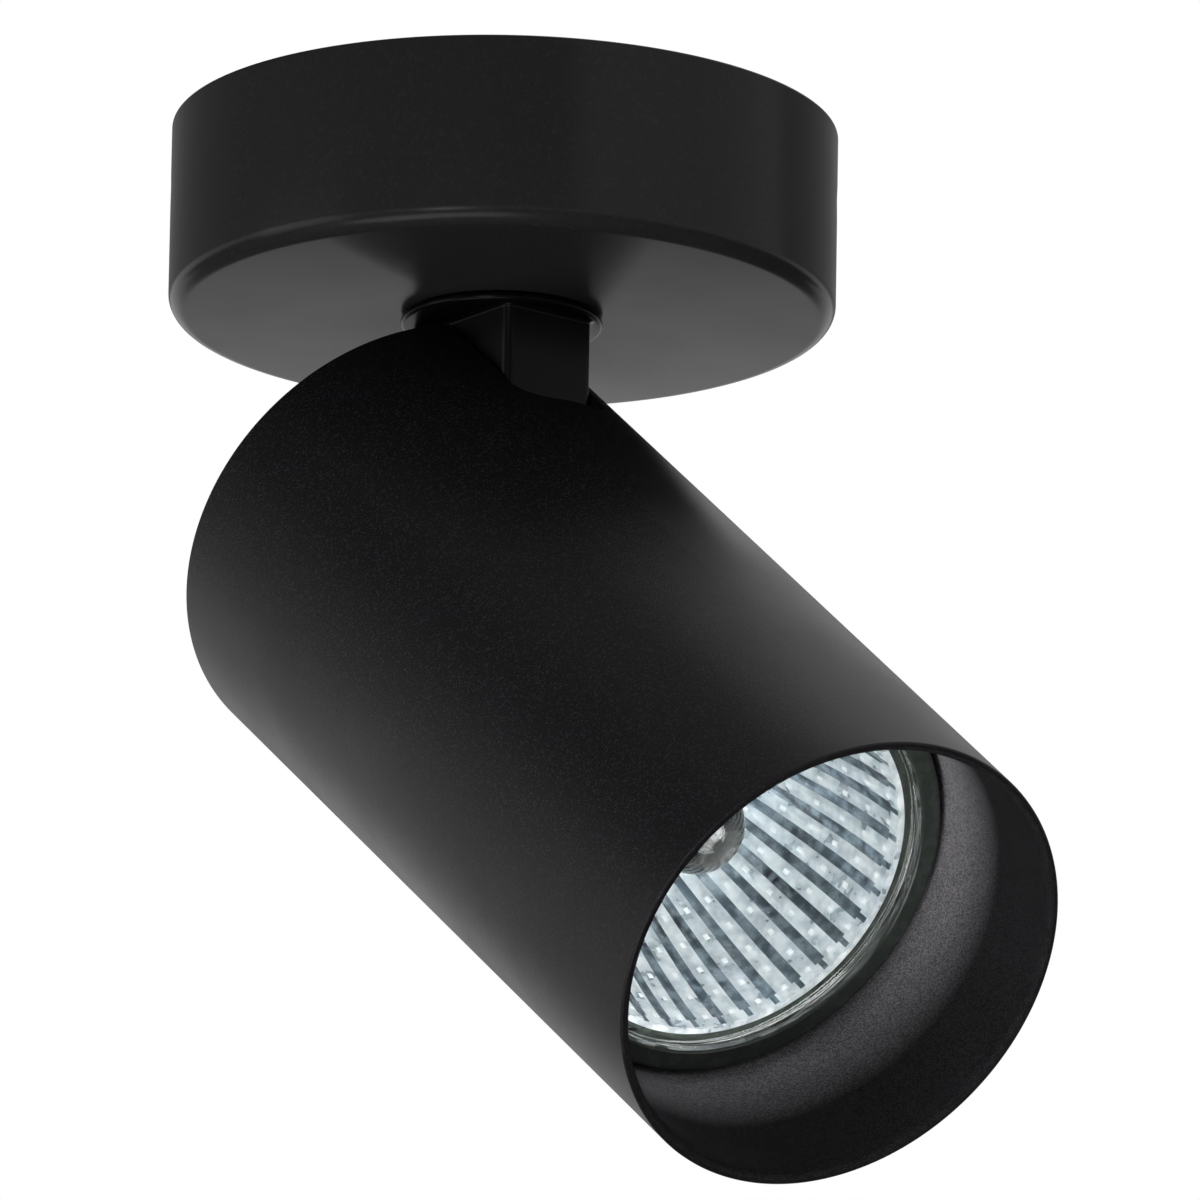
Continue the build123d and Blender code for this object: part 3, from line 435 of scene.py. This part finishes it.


# the glow colours below are painted light near the lamp's front, standing in for the lamp's light reflected
# in the coat
tubeInside = {"ior": 1.05, "colour": (0.005, 0.0048, 0.0052), "speckColour": (0.011, 0.0107, 0.0114),
              "dust": (0.072, 0.07, 0.0744),
              "lampGlowSpeck": (0.153, 0.148, 0.158), "fade": 11.5 * mm, "specks": 0.45, "grain": 8200.0,
              "blotch": 80.0, "rough": (0.36, 0.45), "bump": 0.5, "depth": 0.1 * mm}
earthLead = {"green": (0.02, 0.16, 0.035), "yellow": (0.72, 0.55, 0.02), "bands": 110.0, "share": 0.6,
             "ior": 1.47, "grain": 2200.0, "blotch": 150.0, "rough": (0.35, 0.5), "bump": 0.15,
             "depth": 0.05 * mm}

finishes = {name: paint(name + "_coat", look) for name, look in paintLooks.items()}
finishes.update({name: metal(name + "_metal", look) for name, look in metalLooks.items()})
finishes.update({name: glass(name + "_clear", look) for name, look in glassLooks.items()})
finishes["lead_green"] = stripedInsulation("lead_green_coat", earthLead)
finishes["tube_inside"] = lampGlowCoat("tube_inside_coat", tubeInside)
for cadNode in nodes.values():
    for matSlot in cadNode.material_slots:
        matSlot.material = finishes[matSlot.material.name]
print("finishes made:", len(finishes))


def settle(piece, body, replaced, slotName, *finishNames):
    for name in finishNames or [slotName]:
        piece.data.materials.append(finishes[name])
    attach(piece, body)
    if replaced:
        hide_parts(*replaced)


# canopy cup against the ceiling
canopyCup = {"wall": 1.2 * mm, "lowEdge": 2.0 * mm, "topEdge": 0.35 * mm, "hole": 10.1 * mm,
             "grubHole": 4.2 * mm,
             "grubHeight": 8.0 * mm, "pinHole": 2.04 * mm, "pinRadius": 10.0 * mm, "edgeSteps": 10,
             "turns": 288}


def makeCanopy():
    low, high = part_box("canopy")
    outer = (high.x - low.x) / 2
    inner = outer - canopyCup["wall"]
    floorTop = low.z + canopyCup["wall"]
    hole = canopyCup["hole"] / 2
    corners = [(hole, low.z, 0), (outer, low.z, canopyCup["lowEdge"]),
               (outer, high.z, canopyCup["topEdge"]),
               (inner, high.z, canopyCup["topEdge"]),
               (inner, floorTop, canopyCup["lowEdge"] - canopyCup["wall"]),
               (hole, floorTop, 0)]
    outline = roundCorners(corners, canopyCup["edgeSteps"])
    cup = turned("canopyCup", outline, Matrix.Identity(4), canopyCup["turns"])
    side = Matrix.Translation((0, 0, -canopyCup["grubHeight"])) @ Matrix.Rotation(math.pi / 2, 4, "Y")
    grubHoles = rod(canopyCup["grubHole"] / 2, -2 * outer, 2 * outer, side)
    pinPlace = Matrix.Translation((0, canopyCup["pinRadius"], 0))
    pinHole = rod(canopyCup["pinHole"] / 2, 2 * low.z, floorTop + canopyCup["wall"], pinPlace)
    combine(cup, [grubHoles, pinHole], "DIFFERENCE")
    settle(cup, "base", ["canopy"], "canopy_black")


makeCanopy()
print("canopy made")


# knuckle: collar and block in one casting
knuckleCast = {"collar": 23.0 * mm, "collarThickness": 1.0 * mm, "collarEdge": 0.42 * mm,
               "blockWidth": 12.3 * mm,
               "blockDepth": 18.3 * mm, "blockCorner": 1.1 * mm, "neckFillet": 0.55 * mm, "foot": 4.05 * mm,
               "tongue": 6.2 * mm, "tongueEdge": 0.4 * mm, "tongueStep": 0.02 * mm, "bore": 7.0 * mm,
               "recess": 17.1 * mm, "recessDepth": 0.3 * mm,
               "portRise": 12.0 * mm, "port": 6.0 * mm, "portSlope": 30.0, "nippleHole": 10.04 * mm,
               "nippleDepth": 10.0 * mm,
               "pivotHole": 5.1 * mm, "tongueLap": 1.0 * mm, "edgeSteps": 8, "footSteps": 4,
               "filletSteps": 6, "tongueSteps": 40, "turns": 160}


def makeKnuckle():
    cast = knuckleCast
    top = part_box("knuckle")[1].z - pivot.z
    under = top - cast["collarThickness"]
    radius = cast["collar"] / 2
    nipple = cast["nippleHole"] / 2
    recess = cast["recess"] / 2
    edge = cast["collarEdge"]
    corners = [(0, under, 0), (radius, under, edge), (radius, top, edge), (recess, top, 0),
               (recess, top - cast["recessDepth"], 0), (0, top - cast["recessDepth"], 0)]
    collar = turned("knuckleCast", roundCorners(corners, cast["edgeSteps"]), knucklePlace, cast["turns"])
    halfW, halfD = cast["blockWidth"] / 2, cast["blockDepth"] / 2
    rings = []

    def ring(grow, height):
        x, y, r = halfW + grow, halfD + grow, cast["blockCorner"] + max(grow, 0)
        outline = roundCorners([(x, y, r), (-x, y, r), (-x, -y, r), (x, -y, r)], cast["edgeSteps"])
        rings.append([(a, b, height) for a, b in outline])

    for step in range(cast["footSteps"] + 1):  # small radius at the foot
        angle = math.pi / 2 * step / cast["footSteps"]
        ring(-cast["tongueEdge"] * (1 - math.sin(angle)),
             cast["foot"] + cast["tongueEdge"] * (1 - math.cos(angle)))
    fillet = cast["neckFillet"]
    for step in range(cast["filletSteps"] + 1):  # fillet into the collar
        angle = math.pi / 2 * step / cast["filletSteps"]
        ring(fillet * (1 - math.cos(angle)), under - fillet * (1 - math.sin(angle)))
    ring(fillet, under + cast["collarThickness"] / 2)
    bm = bmesh.new()
    loftRings(bm, rings, capEnds=True)
    block = closeMesh("block", bm, knucklePlace)
    tongueR, tongueEdge = cast["tongue"], cast["tongueEdge"]
    tongueW = halfW - cast["tongueStep"]
    tongueTop = cast["foot"] + cast["tongueLap"]
    rings = []
    for inset, across in ((tongueEdge, -tongueW), (0, tongueEdge - tongueW), (0, tongueW - tongueEdge),
                          (tongueEdge, tongueW)):
        outline = arcPoints((0, 0), tongueR - inset, math.pi, 2 * math.pi, cast["tongueSteps"])
        outline += [(tongueR - inset, tongueTop), (inset - tongueR, tongueTop)]
        rings.append([(across, y, z) for y, z in outline])
    bm = bmesh.new()
    loftRings(bm, rings, capEnds=True)
    tongue = closeMesh("tongue", bm, knucklePlace)
    combine(collar, [block, tongue], "UNION")
    boreFoot = Matrix.Translation((0, 0, cast["portRise"]))
    port = boreFoot @ Matrix.Rotation(math.radians(-90 - cast["portSlope"]), 4, "X")
    cross = Matrix.Rotation(math.pi / 2, 4, "Y")
    cuts = [rod(cast["bore"] / 2, cast["portRise"], top, knucklePlace),
            rod(nipple, top - cast["nippleDepth"], 2 * top, knucklePlace),
            rod(cast["port"] / 2, 0, 2 * halfD, knucklePlace @ port),
            rod(cast["pivotHole"] / 2, -2 * halfW, 2 * halfW, knucklePlace @ cross),
            ball(cast["bore"] / 2, knucklePlace @ boreFoot)]  # round foot of the bore, as in the CAD
    combine(collar, cuts, "DIFFERENCE")
    settle(collar, "swivel", ["knuckle"], "knuckle_black")


makeKnuckle()
print("knuckle made")


# lamp tube with the slot that lets it tilt
lampTube = {"outer": 55.0 * mm, "bore": 52.5 * mm, "rear": 17.0 * mm, "length": 105.0 * mm, "rim": 0.3 * mm,
            "innerRim": 0.92 * mm, "slotWidth": 13.0 * mm, "slotEnd": -1.95 * mm, "slotCorner": 4.0 * mm,
            "screwHole": 3.2 * mm,
            "screwHeight": -12.0 * mm, "screwSpread": 30.0, "insideFacing": -0.15, "edgeSteps": 6,
            "slotSteps": 12, "turns": 320}


def makeTube():
    outer, bore = lampTube["outer"] / 2, lampTube["bore"] / 2
    rear = lampTube["rear"]
    mouth = rear - lampTube["length"]
    rim = lampTube["rim"]
    corners = [(bore, mouth, lampTube["innerRim"]), (outer, mouth, rim), (outer, rear, rim),
               (bore, rear, rim)]
    tube = turned("lampTube", roundCorners(corners, lampTube["edgeSteps"]), tubePlace, lampTube["turns"])
    half, end, corner = lampTube["slotWidth"] / 2, lampTube["slotEnd"], lampTube["slotCorner"]
    corners = [(-half, end, corner), (half, end, corner), (half, 2 * rear, 0), (-half, 2 * rear, 0)]
    outline = roundCorners(corners, lampTube["slotSteps"])
    outward = Matrix.Rotation(math.pi / 2, 4, "X")  # the prism runs out through the wall on -Y
    slotCut = prism("slotCut", outline, outer / 2, 2 * outer, tubePlace @ outward)
    cuts = [slotCut]
    for turn in (-lampTube["screwSpread"], lampTube["screwSpread"]):
        spoke = Matrix.Rotation(math.radians(turn), 4, "Z") @ Matrix.Rotation(math.pi / 2, 4, "Y")
        place = tubePlace @ Matrix.Translation((0, 0, lampTube["screwHeight"])) @ spoke
        cuts.append(rod(lampTube["screwHole"] / 2, outer / 2, 2 * outer, place))
    combine(tube, cuts, "DIFFERENCE")
    settle(tube, "head", ["lamp_tube"], "tube_black", "tube_black", "tube_inside")
    for face in tube.data.polygons:
        spoke = face.center - axisFoot
        spoke -= tubeAxis * spoke.dot(tubeAxis)
        if face.normal.dot(spoke.normalized()) < lampTube["insideFacing"]:
            face.material_index = 1


makeTube()
print("tube made")


# lamp: faceted bowl, pressed glass rim, cover glass, capsule and coil
lampBulb = {"opening": 41.4 * mm, "hole": 12.8 * mm, "neck": 22.0 * mm, "wall": 1.8 * mm, "bulge": 0.68,
            "neckHeight": 33.0 * mm, "seat": 2.4 * mm, "rimBack": 3.0 * mm, "ribs": 38, "beads": 9,
            "facetSteps": 10,
            "lipBead": 0.6 * mm, "glassDome": 400.0 * mm, "ribShare": 0.6, "ribRise": 0.07,
            "padShare": 0.25, "padRise": 0.05, "rim": 50.7 * mm, "glass": 45.4 * mm, "glassEdge": 0.45 * mm,
            "rimEdge": 0.8 * mm,
            "cement": 0.05 * mm, "capsule": 11.0 * mm, "capsuleWall": 0.9 * mm, "capsuleReach": 26.5 * mm,
            "coil": 1.5 * mm, "coilTurns": 11, "coilPitch": 0.55 * mm, "coilWire": 0.14 * mm,
            "coilLegs": 20.0 * mm, "coilSteps": 12, "coilCrease": 60, "capsuleTail": 10.1 * mm,
            "capsuleSteps": 20, "capsuleTurns": 96, "backSteps": 20, "gapTip": 0.5, "facetCrease": 12,
            "edgeSteps": 8, "domeSteps": 16, "rimTurns": 256, "glassTurns": 224}


def makeBowl():
    bulb = lampBulb
    neck = lampFront + bulb["neckHeight"]
    seat = lampFront + bulb["seat"]
    rimBack = lampFront + bulb["rimBack"]
    hole, opening = bulb["hole"] / 2, bulb["opening"] / 2
    outer, neckR = opening + bulb["wall"], bulb["neck"] / 2
    middle = (hole + (opening - hole) * bulb["bulge"], (neck + seat) / 2)
    inside = threePointArc((hole, neck), middle, (opening, seat), bulb["beads"] * bulb["facetSteps"])
    outerMiddle = (neckR + (outer - neckR) * bulb["bulge"], (neck + rimBack) / 2)
    outside = threePointArc((outer, rimBack), outerMiddle, (neckR, neck), bulb["backSteps"])
    steps = bulb["facetSteps"]
    turns = bulb["ribs"] * steps
    rings = []
    for index, (radius, height) in enumerate(inside):
        ahead = Vector(inside[min(index + 1, len(inside) - 1)]) - Vector(inside[max(index - 1, 0)])
        inward = Vector((-ahead.y, ahead.x)).normalized()
        if inward.x > 0:
            inward = -inward
        along = (index % steps) / steps * 2 - 1
        ribWidth = 2 * math.pi * radius / bulb["ribs"]
        ring = []
        for turn in range(turns):
            across = (turn % steps) / steps * 2 - 1
            crest = max(0, 1 - (across / bulb["ribShare"]) ** 2)
            pad = max(0, 1 - (across / bulb["padShare"]) ** 2) * max(0, 1 - (along / bulb["padShare"]) ** 2)
            rise = ribWidth * (bulb["ribRise"] * crest + bulb["padRise"] * pad)
            r, z = radius + inward.x * rise, height + inward.y * rise
            angle = 2 * math.pi * turn / turns
            ring.append((r * math.cos(angle), r * math.sin(angle), z))
        rings.append(ring)
    for radius, height in [(opening + bulb["lipBead"], seat)] + outside:
        rings.append([(radius * math.cos(2 * math.pi * t / turns),
                       radius * math.sin(2 * math.pi * t / turns), height)
                      for t in range(turns)])
    bm = bmesh.new()
    rows = loftRings(bm, rings, closedRows=True)
    middles = (steps // 2 - 1, steps // 2)
    for index, row in enumerate(rows[:len(inside) - 1]):
        for turn, corner in enumerate(row):
            shared = set(corner.link_faces) & set(row[(turn + 1) % turns].link_faces)
            face = (shared & set(rows[index + 1][turn].link_faces)).pop()
            across = abs((turn % steps + 0.5) / steps * 2 - 1)
            toEdge = len(inside) - 2 - index
            gapStart = bulb["ribShare"] + bulb["gapTip"] / (toEdge + 1)  # gaps narrow to a tip
            # the gaps take the dark copy of the mirror, painted reflection
            if across > gapStart:
                face.material_index = 1
            # the pads take the near-white finish, painted glints
            elif turn % steps in middles and index % steps in middles:
                face.material_index = 2
    lip, back = set(rows[len(inside)]), set(rows[len(inside) + 1])
    for face in bm.faces:
        if lip & set(face.verts) and back & set(face.verts):
            face.material_index = 3
    bowl = closeMesh("lampBowl", bm, tubePlace, bulb["facetCrease"])
    settle(bowl, "lamp", ["lamp_reflector"], "mirror_glass", "mirror_lit_rib", "mirror_glass", "mirror_glint_pad",
           "rim_glass")


def makeRimAndGlass():
    bulb = lampBulb
    seat = lampFront + bulb["seat"]
    back = lampFront + bulb["rimBack"]
    outer, glassR, opening = bulb["rim"] / 2, bulb["glass"] / 2, bulb["opening"] / 2
    inner = glassR + bulb["cement"]
    bowlR = opening + bulb["wall"] + bulb["cement"]
    corners = [(inner, lampFront, bulb["glassEdge"]), (outer, lampFront, bulb["rimEdge"]),
               (outer, back, bulb["rimEdge"]),
               (bowlR, back, 0), (bowlR, seat, 0), (inner, seat, 0)]
    rim = turned("lampRim", roundCorners(corners, bulb["edgeSteps"]), tubePlace, bulb["rimTurns"])
    settle(rim, "lamp", None, "clear_glass", "rim_glass")
    edge = bulb["glassEdge"]
    dome = bulb["glassDome"]
    domeEnd = math.asin((glassR - edge) / dome) - math.pi / 2
    front = arcPoints((0, lampFront + dome), dome, -math.pi / 2, domeEnd, bulb["domeSteps"])
    frontEdge = front[-1][1]
    corners = [(0, frontEdge, 0), (glassR, frontEdge, edge), (glassR, seat, edge), (0, seat, 0)]
    side = roundCorners(corners, bulb["edgeSteps"])
    cover = turned("coverGlass", front + side[1:], tubePlace, bulb["glassTurns"])
    settle(cover, "lamp", ["lamp_front_glass"], "clear_glass")


def makeCapsule():
    bulb = lampBulb
    radius = bulb["capsule"] / 2
    wall = bulb["capsuleWall"]
    tip = lampFront + bulb["neckHeight"] - bulb["capsuleReach"]
    end = lampFront + bulb["neckHeight"] + bulb["capsuleTail"]
    centre = (0, tip + radius)
    hollow = radius - wall
    outside = arcPoints(centre, radius, -math.pi / 2, 0, bulb["capsuleSteps"]) + [(radius, end), (0, end)]
    inside = arcPoints(centre, hollow, -math.pi / 2, 0, bulb["capsuleSteps"]) + [(hollow, end - wall),
                                                                                 (0, end - wall)]
    capsule = turned("lampCapsule", outside + inside[::-1], tubePlace, bulb["capsuleTurns"])
    settle(capsule, "lamp", ["lamp_capsule"], "quartz_glass")


def makeCoil():
    bulb = lampBulb
    low = lampFront + bulb["neckHeight"] - bulb["capsuleReach"] + bulb["capsule"] / 2
    curve = bpy.data.curves.new("coilWire", "CURVE")
    curve.dimensions = "3D"
    curve.bevel_depth = bulb["coilWire"]
    curve.bevel_resolution = 2
    length = bulb["coilTurns"] * bulb["coilPitch"]
    legTop = low + bulb["coilLegs"]
    points = [(-bulb["coil"], 0, legTop)]
    half = bulb["coil"] / 2
    steps = bulb["coilTurns"] * bulb["coilSteps"]
    for step in range(steps + 1):
        angle = 2 * math.pi * step / bulb["coilSteps"]
        points.append((half * math.cos(angle) - half, half * math.sin(angle), low + length * step / steps))
    points.append((bulb["coil"], 0, low + length))
    points.append((bulb["coil"], 0, legTop))
    line = curve.splines.new("POLY")
    line.points.add(len(points) - 1)
    for spot, point in zip(line.points, points):
        spot.co = (*point, 1)
    holder = bpy.data.objects.new("coilDraft", curve)
    scene.collection.objects.link(holder)
    view = bpy.context.evaluated_depsgraph_get()
    mesh = bpy.data.meshes.new_from_object(holder.evaluated_get(view))
    bpy.data.objects.remove(holder)
    coil = bpy.data.objects.new("lampCoil", mesh)
    scene.collection.objects.link(coil)
    mesh.transform(tubePlace)
    shadeMesh(mesh, bulb["coilCrease"])
    settle(coil, "lamp", ["lamp_filament"], "tungsten")


makeBowl()
makeRimAndGlass()
makeCapsule()
makeCoil()
print("lamp made")


# leads: cut into short lengths along the stretch that twists in the nipple as the spot swivels, and the
# stretch that bends beside the hinge as it tilts
leadBends = {"cuts": 28, "twistEnd": 15.4 * mm, "exit": (9.2 * mm, 5.8 * mm),
             "holderHole": (2.7 * mm, -8.1 * mm),
             "earthExit": (9.0 * mm, 5.4 * mm), "earthTag": (6.0 * mm, -13.0 * mm)}


def bendLead(name, start, end):
    node = nodes[name]
    mesh = node.data.copy()
    mesh.transform(node.matrix_world)
    bm = bmesh.new()
    bm.from_mesh(mesh)
    for step in range(1, leadBends["cuts"]):
        parts = bm.verts[:] + bm.edges[:] + bm.faces[:]
        spot = start.lerp(end, step / leadBends["cuts"])
        bmesh.ops.bisect_plane(bm, geom=parts, plane_co=spot, plane_no=end - start)
    bm.to_mesh(mesh)
    bm.free()
    words = name.split("_")
    pieceName = words[0] + "".join(word.title() for word in words[1:])
    piece = bpy.data.objects.new(pieceName, mesh)
    scene.collection.objects.link(piece)
    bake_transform(piece)
    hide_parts(name)


def hingeSpot(out, rise):
    return pivot + knucklePlace.to_3x3() @ Vector((0, out, rise))


def bendLeads():
    for wire in ("live", "neutral", "earth"):
        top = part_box(wire + "_lead_knuckle")[1].z
        bendLead(wire + "_lead_knuckle", Vector((0, 0, top)),
                 hingeSpot(0, leadBends["twistEnd"]))
        out, hole = ("earthExit", "earthTag") if wire == "earth" else ("exit", "holderHole")
        bendLead(wire + "_lead_head", hingeSpot(*leadBends[out]),
                 hingeSpot(*leadBends[hole]))


bendLeads()
print("leads made")


# camera, matched to the photograph
camera = {"focal": 606.5, "distance": 2.2918, "elevation": -15.70, "roll": 0.99,
          "aim": (0.01173, 0.0, -0.05515)}


def makeCamera():
    data = bpy.data.cameras.new("photoCamera")
    data.sensor_width = 36.0
    data.lens = camera["focal"]
    data.clip_start = 0.05
    data.clip_end = 60.0
    lift, roll = math.radians(camera["elevation"]), math.radians(camera["roll"])
    right = Vector((1, 0, 0))
    ahead = Vector((0, math.cos(lift), -math.sin(lift)))
    above = right.cross(ahead)
    xDir = right * math.cos(roll) + above * math.sin(roll)
    holder = bpy.data.objects.new("photoCamera", data)
    scene.collection.objects.link(holder)
    holder.matrix_world = placeFrom(Vector(camera["aim"]) - ahead * camera["distance"], xDir, -ahead)
    scene.camera = holder


makeCamera()
print("camera set")


# stage: floor, white surroundings, lamps
stage = {"floorHeight": -3.2, "floorRadius": 14.0, "floorColour": (0.86, 0.86, 0.86), "ambient": 0.85,
         "lamps": {"keyLamp": {"place": (1.3, -1.2, 0.7), "aim": (0.0, 0.0, -0.06), "size": 1.0,
                               "power": 9.0, "gloss": False},
                   "leftLamp": {"place": (-1.6, -0.5, -0.2), "aim": (0.0, 0.0, -0.06), "size": 1.0,
                                "power": 6.0},
                   "lowLamp": {"place": (-0.6, -0.8, -1.3), "aim": (0.02, 0.0, -0.06), "size": 0.8,
                               "power": 34.0, "gloss": False},
                   "frontLamp": {"place": (-0.7, -2.0, -0.3), "aim": (0.03, -0.04, -0.1), "size": 0.5,
                                 "power": 5.0},
                   "topLamp": {"place": (0.5, 0.2, 1.6), "aim": (0.0, 0.0, -0.06), "size": 1.2,
                               "power": 2.0}},
         "flagRadius": 3.0, "flagRows": 12, "flagColumns": 32,
         "flags": {"leftCard": {"turn": (-170, -80), "lift": (8, 27), "shade": 0.25, "seenBy": "glossy"},
                   "leftFlag": {"turn": (-170, -80), "lift": (27, 50), "shade": 0.03, "seenBy": "glossy"},
                   "frontFlag": {"turn": (-80, 25), "lift": (3, 50), "shade": 0.2, "seenBy": "glossy"},
                   "highCard": {"turn": (-170, 25), "lift": (50, 80), "shade": 0.35, "seenBy": "glossy"},
                   "rightCard": {"turn": (25, 110), "lift": (4, 60), "shade": 0.85, "seenBy": "glossy"},
                   "backCard": {"turn": (110, 190), "lift": (4, 25), "shade": 0.28, "seenBy": "glossy"},
                   "lowFlag": {"turn": (-140, 140), "lift": (-89, -8), "shade": 0.04, "seenBy": "glossy"},
                   "lowCard": {"turn": (-65, 5), "lift": (-62, -36), "shade": 3.0, "reach": 2.9,
                               "seenBy": "glossy"},
                   "backFlag": {"turn": (140, 220), "lift": (-89, -21), "shade": 0.04, "seenBy": "glossy"},
                   "glassShade": {"turn": (74, 108), "lift": (-54, -34), "shade": 0.05, "reach": 2.5,
                                  "seenBy": "transmission"},
                   "lampLow": {"turn": (-180, 180), "lift": (0, 89), "shade": 4.5, "reach": 2.7,
                               "seenBy": "transmission", "pole": (-0.68, 0.2, -0.71)},
                   "lampHigh": {"turn": (-180, 180), "lift": (0, 89), "shade": 24.0, "reach": 2.7,
                                "seenBy": "transmission", "pole": (0.68, -0.2, 0.71)}}}


def makeFlag(name, look):
    # a curved card seen only by gloss, or only through the lamp's glass
    # turn 0 is towards the camera, + to the right
    lean = upward.rotation_difference(Vector(look.get("pole", upward)))
    bm = bmesh.new()
    rows = []
    steps, parts = stage["flagRows"], stage["flagColumns"]
    for step in range(steps + 1):
        lift = math.radians(look["lift"][0] + (look["lift"][1] - look["lift"][0]) * step / steps)
        row = []
        for part in range(parts + 1):
            turn = math.radians(look["turn"][0] + (look["turn"][1] - look["turn"][0]) * part / parts)
            spot = Vector((math.sin(turn) * math.cos(lift), -math.cos(turn) * math.cos(lift),
                           math.sin(lift)))
            row.append(bm.verts.new(lean @ spot * look.get("reach", stage["flagRadius"])))
        rows.append(row)
    for low, high in zip(rows, rows[1:]):
        for i in range(len(low) - 1):
            bm.faces.new((low[i], low[i + 1], high[i + 1], high[i]))
    card = closeMesh(name, bm, Matrix.Identity(4))
    finish = bpy.data.materials.new(name)
    finish.use_nodes = True
    tree = finish.node_tree
    glow = put(tree, "ShaderNodeEmission", {"Color": (1, 1, 1, 1), "Strength": look["shade"]})
    tree.links.new(glow.outputs[0], tree.nodes["Material Output"].inputs["Surface"])
    card.data.materials.append(finish)
    for rays in ("camera", "diffuse", "glossy", "transmission", "shadow", "volume_scatter"):
        setattr(card, "visible_" + rays, rays == look["seenBy"])


def makeStage():
    bm = bmesh.new()
    bmesh.ops.create_circle(bm, cap_ends=True, segments=64, radius=stage["floorRadius"])
    floor = closeMesh("studioFloor", bm, Matrix.Translation((0, 0, stage["floorHeight"])))
    finish, tree, shader = startFinish("floorPaper",
                                       {"Base Color": (*stage["floorColour"], 1), "Roughness": 0.9})
    under = put(tree, "ShaderNodeBsdfTransparent")
    facing = put(tree, "ShaderNodeNewGeometry")
    mix = put(tree, "ShaderNodeMixShader",
              {0: facing.outputs["Backfacing"], 1: shader.outputs[0], 2: under.outputs[0]})
    tree.links.new(mix.outputs[0], tree.nodes["Material Output"].inputs["Surface"])
    floor.data.materials.append(finish)
    world = bpy.data.worlds.new("studioWhite")
    scene.world = world
    world.use_nodes = True
    tree = world.node_tree
    back = tree.nodes["Background"]
    rays = put(tree, "ShaderNodeLightPath").outputs
    seen = put(tree, "ShaderNodeMath", {0: rays["Is Camera Ray"], 1: rays["Is Glossy Ray"]},
               operation="MAXIMUM")
    seen = put(tree, "ShaderNodeMath", {0: seen.outputs[0], 1: rays["Is Transmission Ray"]},
               operation="MAXIMUM")
    level = put(tree, "ShaderNodeMapRange",
                {"Value": seen.outputs[0], "To Min": stage["ambient"], "To Max": 1.0})
    back.inputs["Color"].default_value = (1, 1, 1, 1)
    tree.links.new(level.outputs["Result"], back.inputs["Strength"])
    for name, look in stage["flags"].items():
        makeFlag(name, look)
    for name, lamp in stage["lamps"].items():
        data = bpy.data.lights.new(name, "AREA")
        data.size = lamp["size"]
        data.energy = lamp["power"]
        holder = bpy.data.objects.new(name, data)
        scene.collection.objects.link(holder)
        holder.location = lamp["place"]
        holder.visible_glossy = lamp.get("gloss", True)
        holder.rotation_mode = "QUATERNION"
        holder.rotation_quaternion = (Vector(lamp["aim"]) - Vector(lamp["place"])).to_track_quat("-Z", "Y")


makeStage()
scene.view_settings.view_transform = "Standard"
print("stage set")
